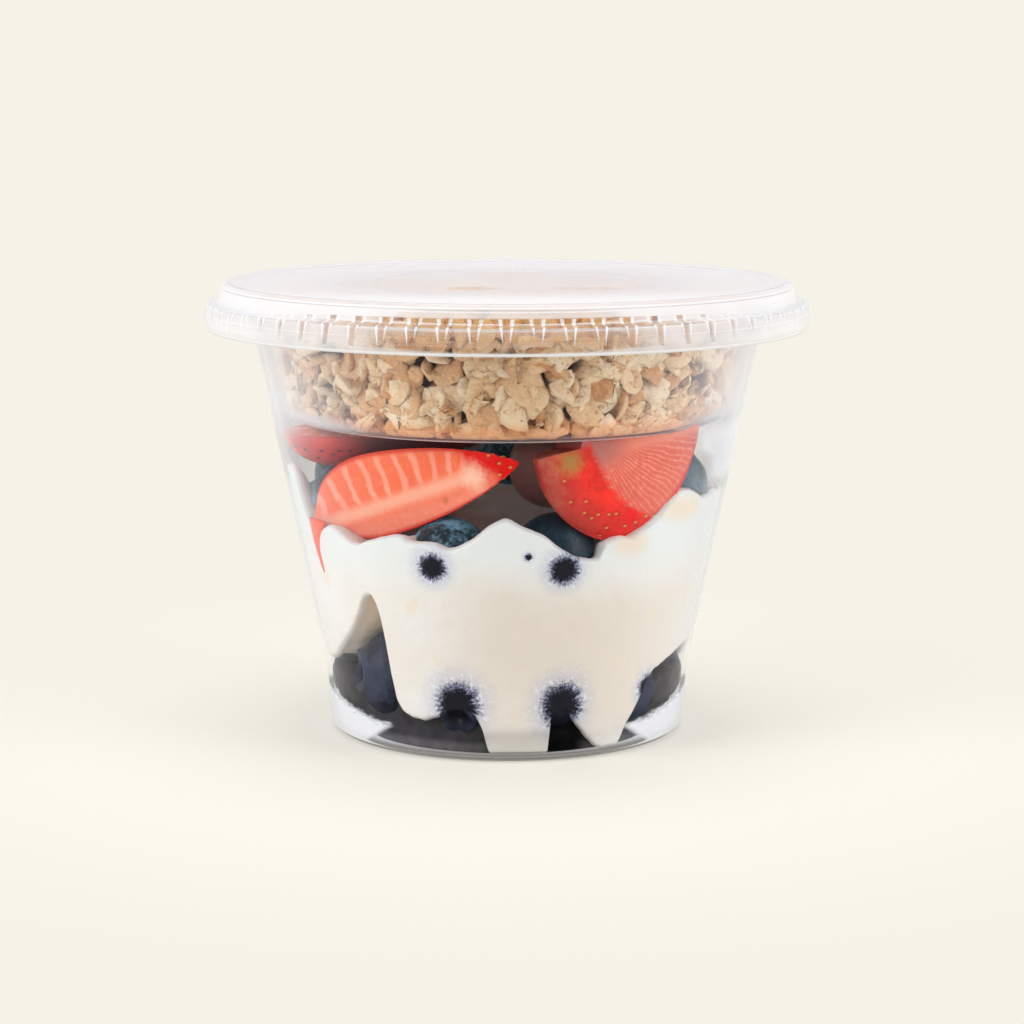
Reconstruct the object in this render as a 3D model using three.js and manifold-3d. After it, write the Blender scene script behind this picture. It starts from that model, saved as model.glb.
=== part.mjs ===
// A yogurt parfait in a clear plastic cup: blueberries on the floor of the cup, a thick layer of
// yogurt poured over them, strawberry halves and more blueberries on the yogurt, a shallow clear
// tray that hangs in the mouth of the cup and holds granola, and a flat clear lid over all of it.
//
// Units are millimetres, +Z is up, the front of the parfait faces -Y, and the origin is the centre
// of the base, on the surface that the cup stands on. A bearing is an angle round the cup in
// degrees, 0 at the front and growing towards +X.

import * as THREE from 'three';
import { mergeVertices } from 'three/addons/utils/BufferGeometryUtils.js';
import Module from 'manifold-3d';

const wasm = await Module();
wasm.setup();

// ---------------------------------------------------------------- driving dimensions

const GAP = 0.3; // clearance between pieces that touch on the real thing
const ROUND_SEGMENTS = 36; // sides of the cup and the tray
const LID_SEGMENTS = 64; // sides of the lid, one for each flute

const cup = {
  wall: 0.8,
  footInner: 27.4, // the flat ring that the cup stands on
  footOuter: 29.2,
  puntRise: 0.9, // how far the middle of the base is raised
  puntRadius: 25.4, // the raised middle is flat out to here
  puntEdge: 27, // and is back at the foot's level here
  floorRadius: 28.6, // where the floor meets the inside of the side
  heelSlope: 1.4, // radius gained inside the heel for each millimetre of height
  heelRadius: 30.4,
  shoulderZ: 11.4, // the side is steeper below this height
  shoulderRadius: 31.5,
  taper: 0.208, // radius gained for each millimetre of height above the shoulder
  rimRadius: 49.2,
  rimTop: 72.6,
  rimDepth: 1.7,
};

const tray = {
  wall: 0.5,
  sideClearance: 1.2, // between the tray's side and the cup's
  underside: 54.2,
  corner: 4.0, // radius of the rounded bottom corner
  flangeRadius: 49.3,
  flangeThickness: 0.5,
};

const lid = {
  wall: 0.6,
  top: 77.7, // raised outer ring, the highest part
  panel: 77.2,
  middle: 76.9,
  middleRadius: 22.6,
  ringInner: 45.6,
  topRadius: 48.9,
  ledgeInner: 49.4, // the ring's side meets the ledge here
  ledgeRadius: 51.1,
  ledgeThickness: 0.6,
  skirtRadius: 51.84,
  skirtWidestZ: 71,
  skirtBottom: 69.8,
};

const flute = {
  top: 74,
  bottom: 70.7,
  halfWidth: 0.95,
  proud: 0.42, // stands out of the skirt
  sunk: 0.3, // is rooted in the skirt
};

const blueberry = {
  sides: 8,
  hollowGrowth: 1.9, // the hollow's plain outline is grown by this many gaps
};

const yogurt = {
  middleTop: 38.5,
  middleBottom: 12.5,
  lowest: 1.2, // its drips end here, just clear of the cup's floor
  edgeGap: 0.5, // the lower edge stays this far from the wall, which bends between its columns
  skinStart: 0.7, // fraction of the radius where the underside starts to fall to the wall
  skinEnd: 0.9,
};

const granola = {
  flakeLength: 7.8,
  flakeWidth: 5.4,
  flakeThickness: 3.6,
  sideRows: [58.4, 64.2, 70], // heights of the rows of flakes round the heap's side
  flakesPerRow: 15,
  topFlakes: 13,
  topMiddle: 74.3, // heights of the heap's top, and how far from the axis it starts to fall
  topEdge: 72.6,
  topFlat: 18,
  topFall: 41,
  coreSides: 24,
  coreFloorRadius: 34.6,
  coreRows: [57.8, 62.5, 67.5, 70.6], // heights of the packed core's rings
  coreInset: 1.6, // the core stays this far inside the tray
  coreShoulder: 72.4,
  coreShoulderInset: 3,
};

// Height of the yogurt's upper and lower edge where it meets the wall, as [bearing, z]. The lower
// edge runs down to the floor where the yogurt has dripped.
const yogurtUpperEdge = [
  [-180, 40], [-145, 43], [-112, 41], [-92, 43], [-82, 46.6], [-76, 47.3], [-69, 46.8], [-66, 40.5],
  [-63, 36], [-57, 37.4], [-52, 38.2], [-44, 36.3], [-36, 37.4], [-29, 38.4], [-25, 37.7], [-20, 37.6],
  [-14.5, 36.9], [-9.5, 38.3], [-4, 41.2], [0, 42], [5, 40.3], [9.5, 39.2], [14.5, 36.8], [20, 35.2], [25, 35], [27, 37.6], [35, 38.3], [41, 40.2],
  [50, 45], [54, 44.8], [63, 42.9], [71, 43.2], [92, 41.5], [122, 39], [152, 42], [180, 40],
];
const yogurtLowerEdge = [
  [-180, 9], [-150, 13], [-122, 10], [-95, 13], [-80, 12.8], [-71, 13.6], [-62, 19], [-56, 23], [-50, 26.3],
  [-44, 27], [-40, 23.5], [-38.5, 13], [-36.5, 8.2], [-31, 6.3], [-26, 6.4], [-20, 8], [-11, 8], [-8, 5.6],
  [-5.5, 1.2], [13, 1.2], [14, 7], [18, 8.6], [21.5, 6.6], [27, 3.1], [32, 1.2], [38, 1.2], [41.5, 4.4],
  [45, 7], [48, 9.2], [51, 12.3], [56, 13.7], [66, 15.2], [82, 15.4], [97, 11], [122, 6], [150, 11],
  [166, 4.5], [180, 9],
];

// Blueberries as [bearing, distance from the axis, height of the middle, radius].
const bedBerries = [
  [-16, 24.5, 10.1, 6.3], [17.2, 24.5, 10.3, 6.3], [50, 24.1, 9.4, 6.8], [86, 23.9, 9.3, 6.8],
  [123.5, 23.5, 9.5, 7.1], [161, 23.6, 9.4, 7.0], [-161, 23.5, 9.6, 7.2], [-123.5, 23.6, 9.4, 7.0],
  [-87, 24, 9.2, 6.7], [-50, 24, 12.2, 7.5], [-34, 8.6, 9.3, 6.9], [86, 8.6, 9.1, 6.8], [206, 8.6, 9.4, 7.0],
];
const topBerries = [
  [-19.4, 28.4, 34, 6.8], [15.8, 28.8, 34.8, 7.1], [-73, 28.8, 40.8, 6.5], [66.7, 30.4, 44, 6.2],
  [31, 13.5, 46.6, 6.8], [101, 28.6, 42.6, 6.6], [-104, 28, 43.2, 6.7], [179, 29.6, 41.5, 6.4],
];

// Strawberry halves. stem and tip are [bearing, distance from the axis, height], face is the way
// the cut face looks as [bearing, degrees above level], depth flattens the round back, low makes
// the side that lies lower narrower, and widest is where along its length it is thickest.
const strawberries = [
  {
    stem: [-62, 35.8, 40.6],
    tip: [3, 38.2, 51.4],
    face: [-30, -6],
    radius: 7.1,
    depth: 0.72,
    low: 1,
    widest: 0.28,
  },
  {
    stem: [11.5, 34, 50.4],
    tip: [56, 38.4, 55.2],
    face: [26, 6],
    radius: 15.4,
    depth: 0.68,
    low: 1,
    widest: 0.52,
  },
  {
    stem: [-80, 38, 52.8],
    tip: [-3, 18, 53.3],
    face: [0, 88],
    radius: 8.4,
    depth: 0.72,
    low: 1,
    widest: 0.24,
  },
  {
    stem: [163, 34.5, 46.5],
    tip: [122, 36, 50.5],
    face: [145, -6],
    radius: 9.4,
    depth: 0.5,
    low: 0.9,
    widest: 0.28,
  },
  {
    stem: [-166, 35, 49],
    tip: [-126, 36.5, 48.5],
    face: [-146, -6],
    radius: 9.8,
    depth: 0.5,
    low: 0.95,
    widest: 0.34,
  },
];

// ---------------------------------------------------------------- helpers

const radians = (degrees) => (degrees * Math.PI) / 180;
const clamp = (value, low, high) => Math.min(Math.max(value, low), high);
const mix = (a, b, t) => a + (b - a) * t;

function smoothstep(low, high, value) {
  const t = clamp((value - low) / (high - low), 0, 1);
  return t * t * (3 - 2 * t);
}

function seededRandom(seed) {
  let state = seed;
  return () => {
    state = (state + 0x6d2b79f5) | 0;
    let t = Math.imul(state ^ (state >>> 15), 1 | state);
    t = (t + Math.imul(t ^ (t >>> 7), 61 | t)) ^ t;
    return ((t ^ (t >>> 14)) >>> 0) / 2 ** 32;
  };
}

/** The point at a bearing round the cup, a distance from its axis and a height. */
function at(bearing, distance, z) {
  const angle = radians(bearing);
  return new THREE.Vector3(distance * Math.sin(angle), -distance * Math.cos(angle), z);
}

/** A smooth value at x through [x, value] points in order of x: a cubic from each to the next. */
function through(points, x) {
  const slope = (k) => {
    const [x0, v0] = points[Math.max(k - 1, 0)];
    const [x1, v1] = points[Math.min(k + 1, points.length - 1)];
    return (v1 - v0) / (x1 - x0);
  };
  let i = 0;
  while (i < points.length - 2 && x > points[i + 1][0]) i += 1;
  const [x0, v0] = points[i];
  const [x1, v1] = points[i + 1];
  const width = x1 - x0;
  const t = (x - x0) / width;
  const bend = t * (1 - t) * ((1 - t) * (slope(i) * width - (v1 - v0)) - t * (slope(i + 1) * width - (v1 - v0)));
  return mix(v0, v1, t) + bend;
}

/** Drops all but positions, joins equal corners and removes triangles with no area. */
function closed(geometry) {
  geometry.deleteAttribute('normal');
  geometry.deleteAttribute('uv');
  const merged = mergeVertices(geometry, 1e-4);
  const index = merged.index.array;
  const kept = [];
  for (let i = 0; i < index.length; i += 3) {
    const [a, b, c] = [index[i], index[i + 1], index[i + 2]];
    if (a !== b && b !== c && c !== a) kept.push(a, b, c);
  }
  merged.setIndex(kept);
  return merged;
}

/** Turns a [radius, z] outline, listed anticlockwise from the axis, once round the Z axis. */
function revolve(outline, segments) {
  const points = outline.map(([radius, z]) => new THREE.Vector2(radius, z));
  const geometry = new THREE.LatheGeometry(points, segments);
  geometry.rotateX(Math.PI / 2);
  return closed(geometry);
}

/** A closed skin over rings of equal length, from a bottom point to a top point. */
function ringSolid(bottom, rings, top) {
  const count = rings[0].length;
  const positions = [bottom, ...rings.flat(), top].flatMap((point) => [point.x, point.y, point.z]);
  const corner = (ring, i) => 1 + ring * count + (i % count);
  const last = 1 + rings.length * count;
  const index = [];
  for (let i = 0; i < count; i += 1) {
    index.push(0, corner(0, i + 1), corner(0, i));
    for (let ring = 0; ring < rings.length - 1; ring += 1) {
      const [a, b] = [corner(ring, i), corner(ring, i + 1)];
      const [d, c] = [corner(ring + 1, i), corner(ring + 1, i + 1)];
      index.push(a, b, c, a, c, d);
    }
    index.push(last, corner(rings.length - 1, i), corner(rings.length - 1, i + 1));
  }
  const geometry = new THREE.BufferGeometry();
  geometry.setAttribute('position', new THREE.Float32BufferAttribute(positions, 3));
  geometry.setIndex(index);
  return geometry;
}

function toSolid(geometry) {
  return new wasm.Manifold(
    new wasm.Mesh({
      numProp: 3,
      vertProperties: new Float32Array(geometry.attributes.position.array),
      triVerts: new Uint32Array(geometry.index.array),
    }),
  );
}

/** The largest connected piece of a solid, as a geometry: loose scraps are dropped. */
function toGeometry(solid) {
  const pieces = solid.decompose().sort((a, b) => b.volume() - a.volume());
  const mesh = pieces[0].getMesh();
  const geometry = new THREE.BufferGeometry();
  geometry.setAttribute('position', new THREE.BufferAttribute(mesh.vertProperties, 3));
  geometry.setIndex(new THREE.BufferAttribute(mesh.triVerts, 1));
  return geometry;
}

// ---------------------------------------------------------------- surfaces that the food rests on

function cupOuterRadius(z) {
  const { heelRadius, shoulderZ, shoulderRadius, taper } = cup;
  if (z < shoulderZ) return mix(heelRadius, shoulderRadius, z / shoulderZ);
  return shoulderRadius + (z - shoulderZ) * taper;
}

/** The cup's inside radius, which closes in where the side meets the floor. */
function cupInnerRadius(z) {
  const heel = cup.floorRadius + cup.heelSlope * Math.max(z - cup.wall, 0);
  return Math.min(cupOuterRadius(z) - cup.wall, heel);
}

const trayOuterRadius = (z) => cupInnerRadius(z) - tray.sideClearance;
const trayInnerRadius = (z) => trayOuterRadius(z) - tray.wall;
const lidLedge = cup.rimTop + GAP + tray.flangeThickness + GAP;

/** Height of the cup's floor at a distance from the axis. */
function cupFloor(radius) {
  return cup.wall + cup.puntRise * (1 - smoothstep(cup.puntRadius, cup.puntEdge, radius));
}

/** Height of the tray's underside at a distance from the axis, following its rounded corner. */
function trayUnderside(radius) {
  const start = trayOuterRadius(tray.underside + tray.corner) - tray.corner;
  const across = clamp(radius - start, 0, tray.corner * 0.98);
  return tray.underside + tray.corner - Math.sqrt(tray.corner ** 2 - across ** 2);
}

/** Moves a point that would be in the cup's wall, its floor or the tray to just clear of it. */
function pressInsideCup(point, gap) {
  const radius = Math.hypot(point.x, point.y);
  const limit = cupInnerRadius(point.z) - gap;
  if (radius > limit) {
    point.x *= limit / radius;
    point.y *= limit / radius;
  }
  const reach = Math.min(radius, limit);
  point.z = clamp(point.z, cupFloor(reach) + gap, trayUnderside(reach) - gap);
  return point;
}

// ---------------------------------------------------------------- cup, tray and lid

/** A quarter round from one [radius, z] point to another about a centre, as outline points. */
function arc([cx, cz], radius, fromDegrees, toDegrees, steps) {
  return Array.from({ length: steps + 1 }, (_, i) => {
    const angle = radians(mix(fromDegrees, toDegrees, i / steps));
    return [cx + radius * Math.cos(angle), cz + radius * Math.sin(angle)];
  });
}

function makeCup() {
  const { wall, puntRise, puntRadius, puntEdge, floorRadius, footInner, footOuter } = cup;
  const { shoulderZ, rimRadius, rimTop, rimDepth } = cup;
  const bead = rimDepth / 2;
  const neck = rimTop - rimDepth;
  return revolve(
    [
      [0, puntRise],
      [(puntRadius + puntEdge) / 2, puntRise],
      [footInner, 0],
      [footOuter, 0],
      [cupOuterRadius(puntRise), puntRise],
      [cupOuterRadius(shoulderZ), shoulderZ],
      [cupOuterRadius(neck), neck],
      [cupOuterRadius(neck) + 1, rimTop - wall],
      ...arc([rimRadius - bead, rimTop - bead], bead, -130, 90, 3),
      [cupInnerRadius(neck) + 1.2, rimTop],
      [cupInnerRadius(neck), neck],
      [cupInnerRadius(shoulderZ), shoulderZ],
      [cupInnerRadius(2 * wall), 2 * wall],
      [floorRadius, wall],
      [puntEdge, wall],
      [puntRadius, wall + puntRise],
      [0, wall + puntRise],
    ],
    ROUND_SEGMENTS,
  );
}

function makeTray() {
  const { wall, underside, corner, flangeRadius, flangeThickness } = tray;
  const flangeBottom = cup.rimTop + GAP;
  const flangeTop = flangeBottom + flangeThickness;
  const neck = cup.rimTop - cup.rimDepth;
  const cornerTop = underside + corner;
  const cornerMiddle = [trayOuterRadius(cornerTop) - corner, cornerTop];
  return revolve(
    [
      [0, underside],
      ...arc(cornerMiddle, corner, -90, -8, 3),
      [trayOuterRadius(neck), neck],
      [trayOuterRadius(neck) + 0.9, flangeBottom],
      [flangeRadius, flangeBottom],
      [flangeRadius, flangeTop],
      [trayInnerRadius(neck) + 0.7, flangeTop],
      [trayInnerRadius(neck), neck],
      ...arc(cornerMiddle, corner - wall, -8, -90, 3),
      [0, underside + wall],
    ],
    ROUND_SEGMENTS,
  );
}

/** One flute: a thin wedge on the lid's skirt, wide at its top and pointed at its bottom. */
function makeFlute(bearing) {
  const { top, bottom, halfWidth, proud, sunk } = flute;
  const { skirtRadius, skirtWidestZ, ledgeRadius, ledgeThickness } = lid;
  const step = (halfWidth / skirtRadius) * (180 / Math.PI);
  const up = (top - skirtWidestZ) / (lidLedge + ledgeThickness - skirtWidestZ);
  const skirt = mix(skirtRadius, ledgeRadius, up);
  const upper = [
    at(bearing - step, skirt - sunk, top),
    at(bearing, skirt + proud, top - 0.2),
    at(bearing + step, skirt - sunk, top),
  ];
  const low = at(bearing, skirtRadius - 0.1 - sunk, bottom);
  return ringSolid(low, [upper], at(bearing, skirt - sunk, top + 0.05));
}

function makeLid() {
  const { wall, top, panel, middle, middleRadius, ringInner, topRadius } = lid;
  const { ledgeInner, ledgeRadius, ledgeThickness, skirtRadius, skirtWidestZ, skirtBottom } = lid;
  const body = revolve(
    [
      [0, middle - wall],
      [middleRadius - 0.2, middle - wall],
      [middleRadius + 0.4, panel - wall],
      [ringInner, panel - wall],
      [topRadius - wall, top - wall - 0.2],
      [ledgeInner - wall, lidLedge],
      [ledgeRadius - wall, lidLedge],
      [skirtRadius - wall, skirtWidestZ],
      [skirtRadius - wall - 0.3, skirtBottom],
      [skirtRadius - 0.5, skirtBottom],
      [skirtRadius, skirtWidestZ],
      [ledgeRadius, lidLedge + ledgeThickness],
      [ledgeInner, lidLedge + ledgeThickness + 0.2],
      [topRadius, top - 0.7],
      [topRadius - 0.7, top],
      [ringInner, top],
      [ringInner - 0.8, panel],
      [middleRadius + 0.5, panel],
      [middleRadius - 0.3, middle],
      [0, middle],
    ],
    LID_SEGMENTS,
  );
  let solid = toSolid(body);
  for (let i = 0; i < LID_SEGMENTS; i += 1) {
    const bearing = ((i + 0.5) * 360) / LID_SEGMENTS;
    solid = solid.add(toSolid(makeFlute(bearing)));
  }
  return toGeometry(solid);
}

// ---------------------------------------------------------------- fruit

/**
 * A blueberry: a round body, slightly flattened, with a raised crown round a small dimple. Grown,
 * it is the plain hollow that the berry leaves in the yogurt.
 */
function makeBlueberry([bearing, distance, height, radius], order, grow = 0) {
  const random = seededRandom(400 + order);
  const size = radius + grow * blueberry.hollowGrowth;
  const crowned = [[0.68, -0.68], [0.96, -0.24], [0.95, 0.3], [0.66, 0.74], [0.36, 0.93], [0.24, 0.8]];
  const plain = [[0.72, -0.74], [1.02, -0.24], [1.02, 0.32], [0.64, 0.87]];
  const outline = grow > 0 ? plain : crowned;
  const bearings = Array.from({ length: blueberry.sides }, (_, i) => (i * 360) / blueberry.sides);
  const ring = ([across, up]) => bearings.map((side) => at(side, across * size, up * size));
  const low = new THREE.Vector3(0, 0, -0.93 * size);
  const high = new THREE.Vector3(0, 0, (grow > 0 ? 0.99 : 0.76) * size);
  const geometry = ringSolid(low, outline.map(ring), high);
  const crown = new THREE.Vector3(random() - 0.5, random() - 0.5, random() * 0.8 - 0.2).normalize();
  geometry.applyQuaternion(new THREE.Quaternion().setFromUnitVectors(new THREE.Vector3(0, 0, 1), crown));
  return pressed(geometry, at(bearing, distance, height), GAP - grow);
}

/** Radius of a strawberry at t along its length, from 0 at the stem to 1 at the tip. */
function strawberryRadius(t, widest) {
  if (t < widest) return Math.sqrt(1 - ((widest - t) / widest) ** 2);
  const s = (t - widest) / (1 - widest);
  return (1 - s ** 1.75) ** 0.8;
}

/** Half a strawberry cut lengthwise: a flat face with a round back, along stem to tip. */
function makeStrawberry({ stem, tip, face, radius, depth, low, widest }, grow = 0) {
  const start = at(...stem);
  const along = at(...tip).sub(start);
  const length = along.length();
  along.normalize();
  const level = radians(face[1]);
  const out = at(face[0], Math.cos(level), Math.sin(level));
  out.addScaledVector(along, -out.dot(along)).normalize();
  const across = new THREE.Vector3().crossVectors(out, along);
  const steps = 7;
  const backSides = 7;
  const place = (t, sideways, outward) =>
    start
      .clone()
      .addScaledVector(along, t * (length + 2 * grow) - grow)
      .addScaledVector(across, sideways)
      .addScaledVector(out, outward);
  const rings = Array.from({ length: steps }, (_, i) => {
    const t = 0.5 - 0.5 * Math.cos((Math.PI * (i + 1)) / (steps + 1));
    const size = radius * strawberryRadius(t, widest) + grow;
    const back = Array.from({ length: backSides + 1 }, (__, k) => {
      const angle = Math.PI + (k * Math.PI) / backSides;
      const [sideways, behind] = [Math.cos(angle), -Math.sin(angle)];
      const side = size * sideways * (sideways < 0 ? low : 1);
      return place(t, side, grow * (1 - behind) - (size * depth + grow) * behind);
    });
    return [...back, place(t, 0, grow + 0.05)];
  });
  return pressed(ringSolid(place(0, 0, 0), rings, place(1, 0, 0)), new THREE.Vector3(), GAP - grow);
}

/** Moves a geometry to a place, then presses it clear of the cup and the tray. */
function pressed(geometry, place, gap) {
  geometry.translate(place.x, place.y, place.z);
  const position = geometry.attributes.position;
  const point = new THREE.Vector3();
  for (let i = 0; i < position.count; i += 1) {
    pressInsideCup(point.fromBufferAttribute(position, i), gap);
    position.setXYZ(i, point.x, point.y, point.z);
  }
  return geometry;
}

// ---------------------------------------------------------------- yogurt

/** Bearings of the yogurt's columns: close together at the front, where its edge is lively. */
function yogurtBearings() {
  const bearings = [];
  for (let bearing = -180; bearing < 180; bearing += Math.abs(bearing + 0.1) < 75 ? 5 : 15) {
    bearings.push(bearing);
  }
  return bearings;
}

/** Soft swells of the upper surface away from the wall. */
function swell(x, y) {
  const broad = 1.1 * Math.sin(x * 0.21 + 0.6) * Math.cos(y * 0.17);
  return broad + 0.7 * Math.sin(y * 0.31 + x * 0.12);
}

function makeYogurt(pieces) {
  const columns = yogurtBearings();
  const upper = (bearing) => through(yogurtUpperEdge, bearing);
  const lower = (bearing) => Math.max(through(yogurtLowerEdge, bearing), yogurt.lowest);
  const wallRing = (height, gap = GAP) =>
    columns.map((bearing) => {
      const z = height(bearing);
      return at(bearing, cupInnerRadius(z) - gap, z);
    });
  const underside = (part) =>
    columns.map((bearing) => {
      const edge = lower(bearing);
      const fall = smoothstep(yogurt.skinStart, yogurt.skinEnd, part);
      const radius = (cupInnerRadius(edge) - GAP) * part;
      const z = Math.max(mix(yogurt.middleBottom, edge, fall), cupFloor(radius) + GAP);
      return at(bearing, radius, z);
    });
  const surface = (part) =>
    columns.map((bearing) => {
      const edge = upper(bearing);
      const point = at(bearing, (cupInnerRadius(edge) - GAP) * part, 0);
      const rise = smoothstep(0.7, 1, part);
      point.z = mix(yogurt.middleTop + swell(point.x, point.y), edge, rise);
      return point;
    });
  const rings = [
    ...[0.4, 0.72, 0.9].map(underside),
    wallRing(lower, yogurt.edgeGap),
    wallRing((bearing) => Math.max(cup.shoulderZ, lower(bearing) + 2)),
    wallRing(upper),
    ...[0.88, 0.7, 0.36].map(surface),
  ];
  const bottom = new THREE.Vector3(0, 0, yogurt.middleBottom);
  const top = new THREE.Vector3(0, 0, yogurt.middleTop);
  let solid = toSolid(ringSolid(bottom, rings, top));
  for (const piece of pieces) solid = solid.subtract(toSolid(piece));
  return toGeometry(solid);
}

// ---------------------------------------------------------------- granola

/** Height of the heap's top at a distance from the axis and a bearing. */
function granolaTop(radius, bearing) {
  const { topMiddle, topEdge, topFlat, topFall } = granola;
  const wide = 0.5 * Math.sin(radians(bearing) * 5 + radius * 0.4);
  const fine = 0.4 * Math.sin(radians(bearing) * 9 - radius * 0.7);
  const heap = mix(topMiddle, topEdge, smoothstep(topFlat, topFall, radius));
  return heap + (wide + fine) * smoothstep(0, 12, radius);
}

/** Keeps a point of the heap clear of the tray round it and the lid above it. */
function pressInsideTray(point) {
  const { underside, wall, corner } = tray;
  const lidClear = lid.middle - lid.wall - GAP;
  point.z = clamp(point.z, underside + wall + GAP, lidClear);
  const radius = Math.hypot(point.x, point.y);
  let limit = trayInnerRadius(Math.max(point.z, underside + corner)) - GAP;
  if (point.z < underside + corner) {
    const inner = corner - wall - GAP;
    const drop = Math.min(underside + corner - point.z, inner);
    limit = trayOuterRadius(underside + corner) - corner + Math.sqrt(inner ** 2 - drop ** 2);
  }
  if (radius > limit) {
    point.x *= limit / radius;
    point.y *= limit / radius;
  }
  return point;
}

/** The packed middle of the heap, a little inside its uneven outline. */
function makeGranolaCore() {
  const { coreSides, coreFloorRadius, coreRows, coreInset, coreShoulder, coreShoulderInset } = granola;
  const floor = tray.underside + tray.wall + GAP;
  const bearings = Array.from({ length: coreSides }, (_, i) => (i * 360) / coreSides);
  const lump = (i, height) => 0.45 + 0.45 * Math.sin(i * 2.4 + height * 1.3);
  const reach = (i, height, inset) => trayInnerRadius(height) - GAP - inset - lump(i, height);
  const sideRing = (height) =>
    bearings.map((bearing, i) => pressInsideTray(at(bearing, reach(i, height, coreInset), height)));
  const topRing = (part, inset) =>
    bearings.map((bearing, i) => {
      const radius = reach(i, coreShoulder, inset) * part;
      return pressInsideTray(at(bearing, radius, granolaTop(radius, bearing) - 1));
    });
  const rings = [
    bearings.map((bearing) => at(bearing, coreFloorRadius, floor)),
    ...coreRows.map(sideRing),
    topRing(1, coreShoulderInset),
    ...[0.8, 0.5, 0.22].map((part) => topRing(part, 0)),
  ];
  const top = new THREE.Vector3(0, 0, granola.topMiddle - 0.3);
  return ringSolid(new THREE.Vector3(0, 0, floor), rings, top);
}

/** One oat flake or cluster: a flat oval lump, turned to lie along the heap's surface. */
function makeFlake(place, outward, random) {
  const sides = 6;
  const { flakeLength, flakeWidth, flakeThickness } = granola;
  const size = mix(0.85, 1.3, random());
  const [a, b, c] = [flakeLength, flakeWidth, flakeThickness].map((whole) => (whole * size) / 2);
  const rim = Array.from({ length: sides }, (_, i) => {
    const angle = (i * 2 * Math.PI) / sides;
    return new THREE.Vector3(a * Math.cos(angle), b * Math.sin(angle), c * 0.3 * (random() - 0.5));
  });
  const geometry = ringSolid(new THREE.Vector3(0, 0, -c), [rim], new THREE.Vector3(0, 0, c));
  const lean = new THREE.Vector3(random() - 0.5, random() - 0.5, random() - 0.5).multiplyScalar(1.1);
  const facing = outward.clone().add(lean).normalize();
  geometry.rotateZ(random() * Math.PI);
  geometry.applyQuaternion(new THREE.Quaternion().setFromUnitVectors(new THREE.Vector3(0, 0, 1), facing));
  geometry.translate(place.x, place.y, place.z);
  const position = geometry.attributes.position;
  const point = new THREE.Vector3();
  for (let i = 0; i < position.count; i += 1) {
    pressInsideTray(point.fromBufferAttribute(position, i));
    position.setXYZ(i, point.x, point.y, point.z);
  }
  return geometry;
}

function makeGranola() {
  const random = seededRandom(77);
  const goldenAngle = 137.508;
  let solid = toSolid(makeGranolaCore());
  granola.sideRows.forEach((row, rowIndex) => {
    for (let i = 0; i < granola.flakesPerRow; i += 1) {
      const z = row + (random() - 0.5) * 4;
      const bearing = ((i + rowIndex / 3 + random() * 0.3) * 360) / granola.flakesPerRow;
      const place = at(bearing, trayInnerRadius(z) - 1.9, z);
      solid = solid.add(toSolid(makeFlake(place, at(bearing, 1, 0), random)));
    }
  });
  for (let i = 0; i < granola.topFlakes; i += 1) {
    const radius = 40 * Math.sqrt((i + 0.5) / granola.topFlakes);
    const bearing = i * goldenAngle;
    const place = at(bearing, radius, granolaTop(radius, bearing) - 0.2);
    solid = solid.add(toSolid(makeFlake(place, new THREE.Vector3(0, 0, 1), random)));
  }
  return toGeometry(solid);
}

// ---------------------------------------------------------------- assembly

const clearPlastic = { color: 0xeef1f4, roughness: 0.08, metalness: 0, transparent: true, opacity: 0.3 };
const finishes = {
  cup: clearPlastic,
  tray: clearPlastic,
  lid: clearPlastic,
  yogurt: { color: 0xefe9dd, roughness: 0.4, metalness: 0 },
  granola: { color: 0xc99a63, roughness: 0.75, metalness: 0 },
  blueberry: { color: 0x252f45, roughness: 0.5, metalness: 0 },
  strawberry: { color: 0xd8402b, roughness: 0.35, metalness: 0 },
};

const parfait = new THREE.Group();

function addPiece(name, geometry, finish) {
  const mesh = new THREE.Mesh(geometry, new THREE.MeshStandardMaterial(finishes[finish]));
  mesh.name = name;
  parfait.add(mesh);
}

const numbered = (stem, i) => `${stem}_${String(i + 1).padStart(2, '0')}`;
const berries = [...bedBerries, ...topBerries];

addPiece('cup', makeCup(), 'cup');
addPiece('tray', makeTray(), 'tray');
addPiece('lid', makeLid(), 'lid');
addPiece('granola', makeGranola(), 'granola');
berries.forEach((berry, i) => addPiece(numbered('blueberry', i), makeBlueberry(berry, i), 'blueberry'));
strawberries.forEach((piece, i) => addPiece(numbered('strawberry', i), makeStrawberry(piece), 'strawberry'));
addPiece(
  'yogurt',
  makeYogurt([
    ...berries.map((berry, i) => makeBlueberry(berry, i, GAP)),
    ...strawberries.map((piece) => makeStrawberry(piece, GAP)),
  ]),
  'yogurt',
);

export default parfait;
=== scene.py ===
# %% [markdown]
# # A yogurt parfait, from the cup inwards
#
# A parfait to go is a stack: blueberries on the floor of a clear cup, thick yogurt poured over
# them, cut strawberries and more berries on the yogurt, and a shallow clear tray of granola under
# a flat lid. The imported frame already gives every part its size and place. This script makes the
# surfaces that the eye enjoys: smooth plastic, draped yogurt, seeded fruit and curled oat flakes.

import itertools

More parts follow.
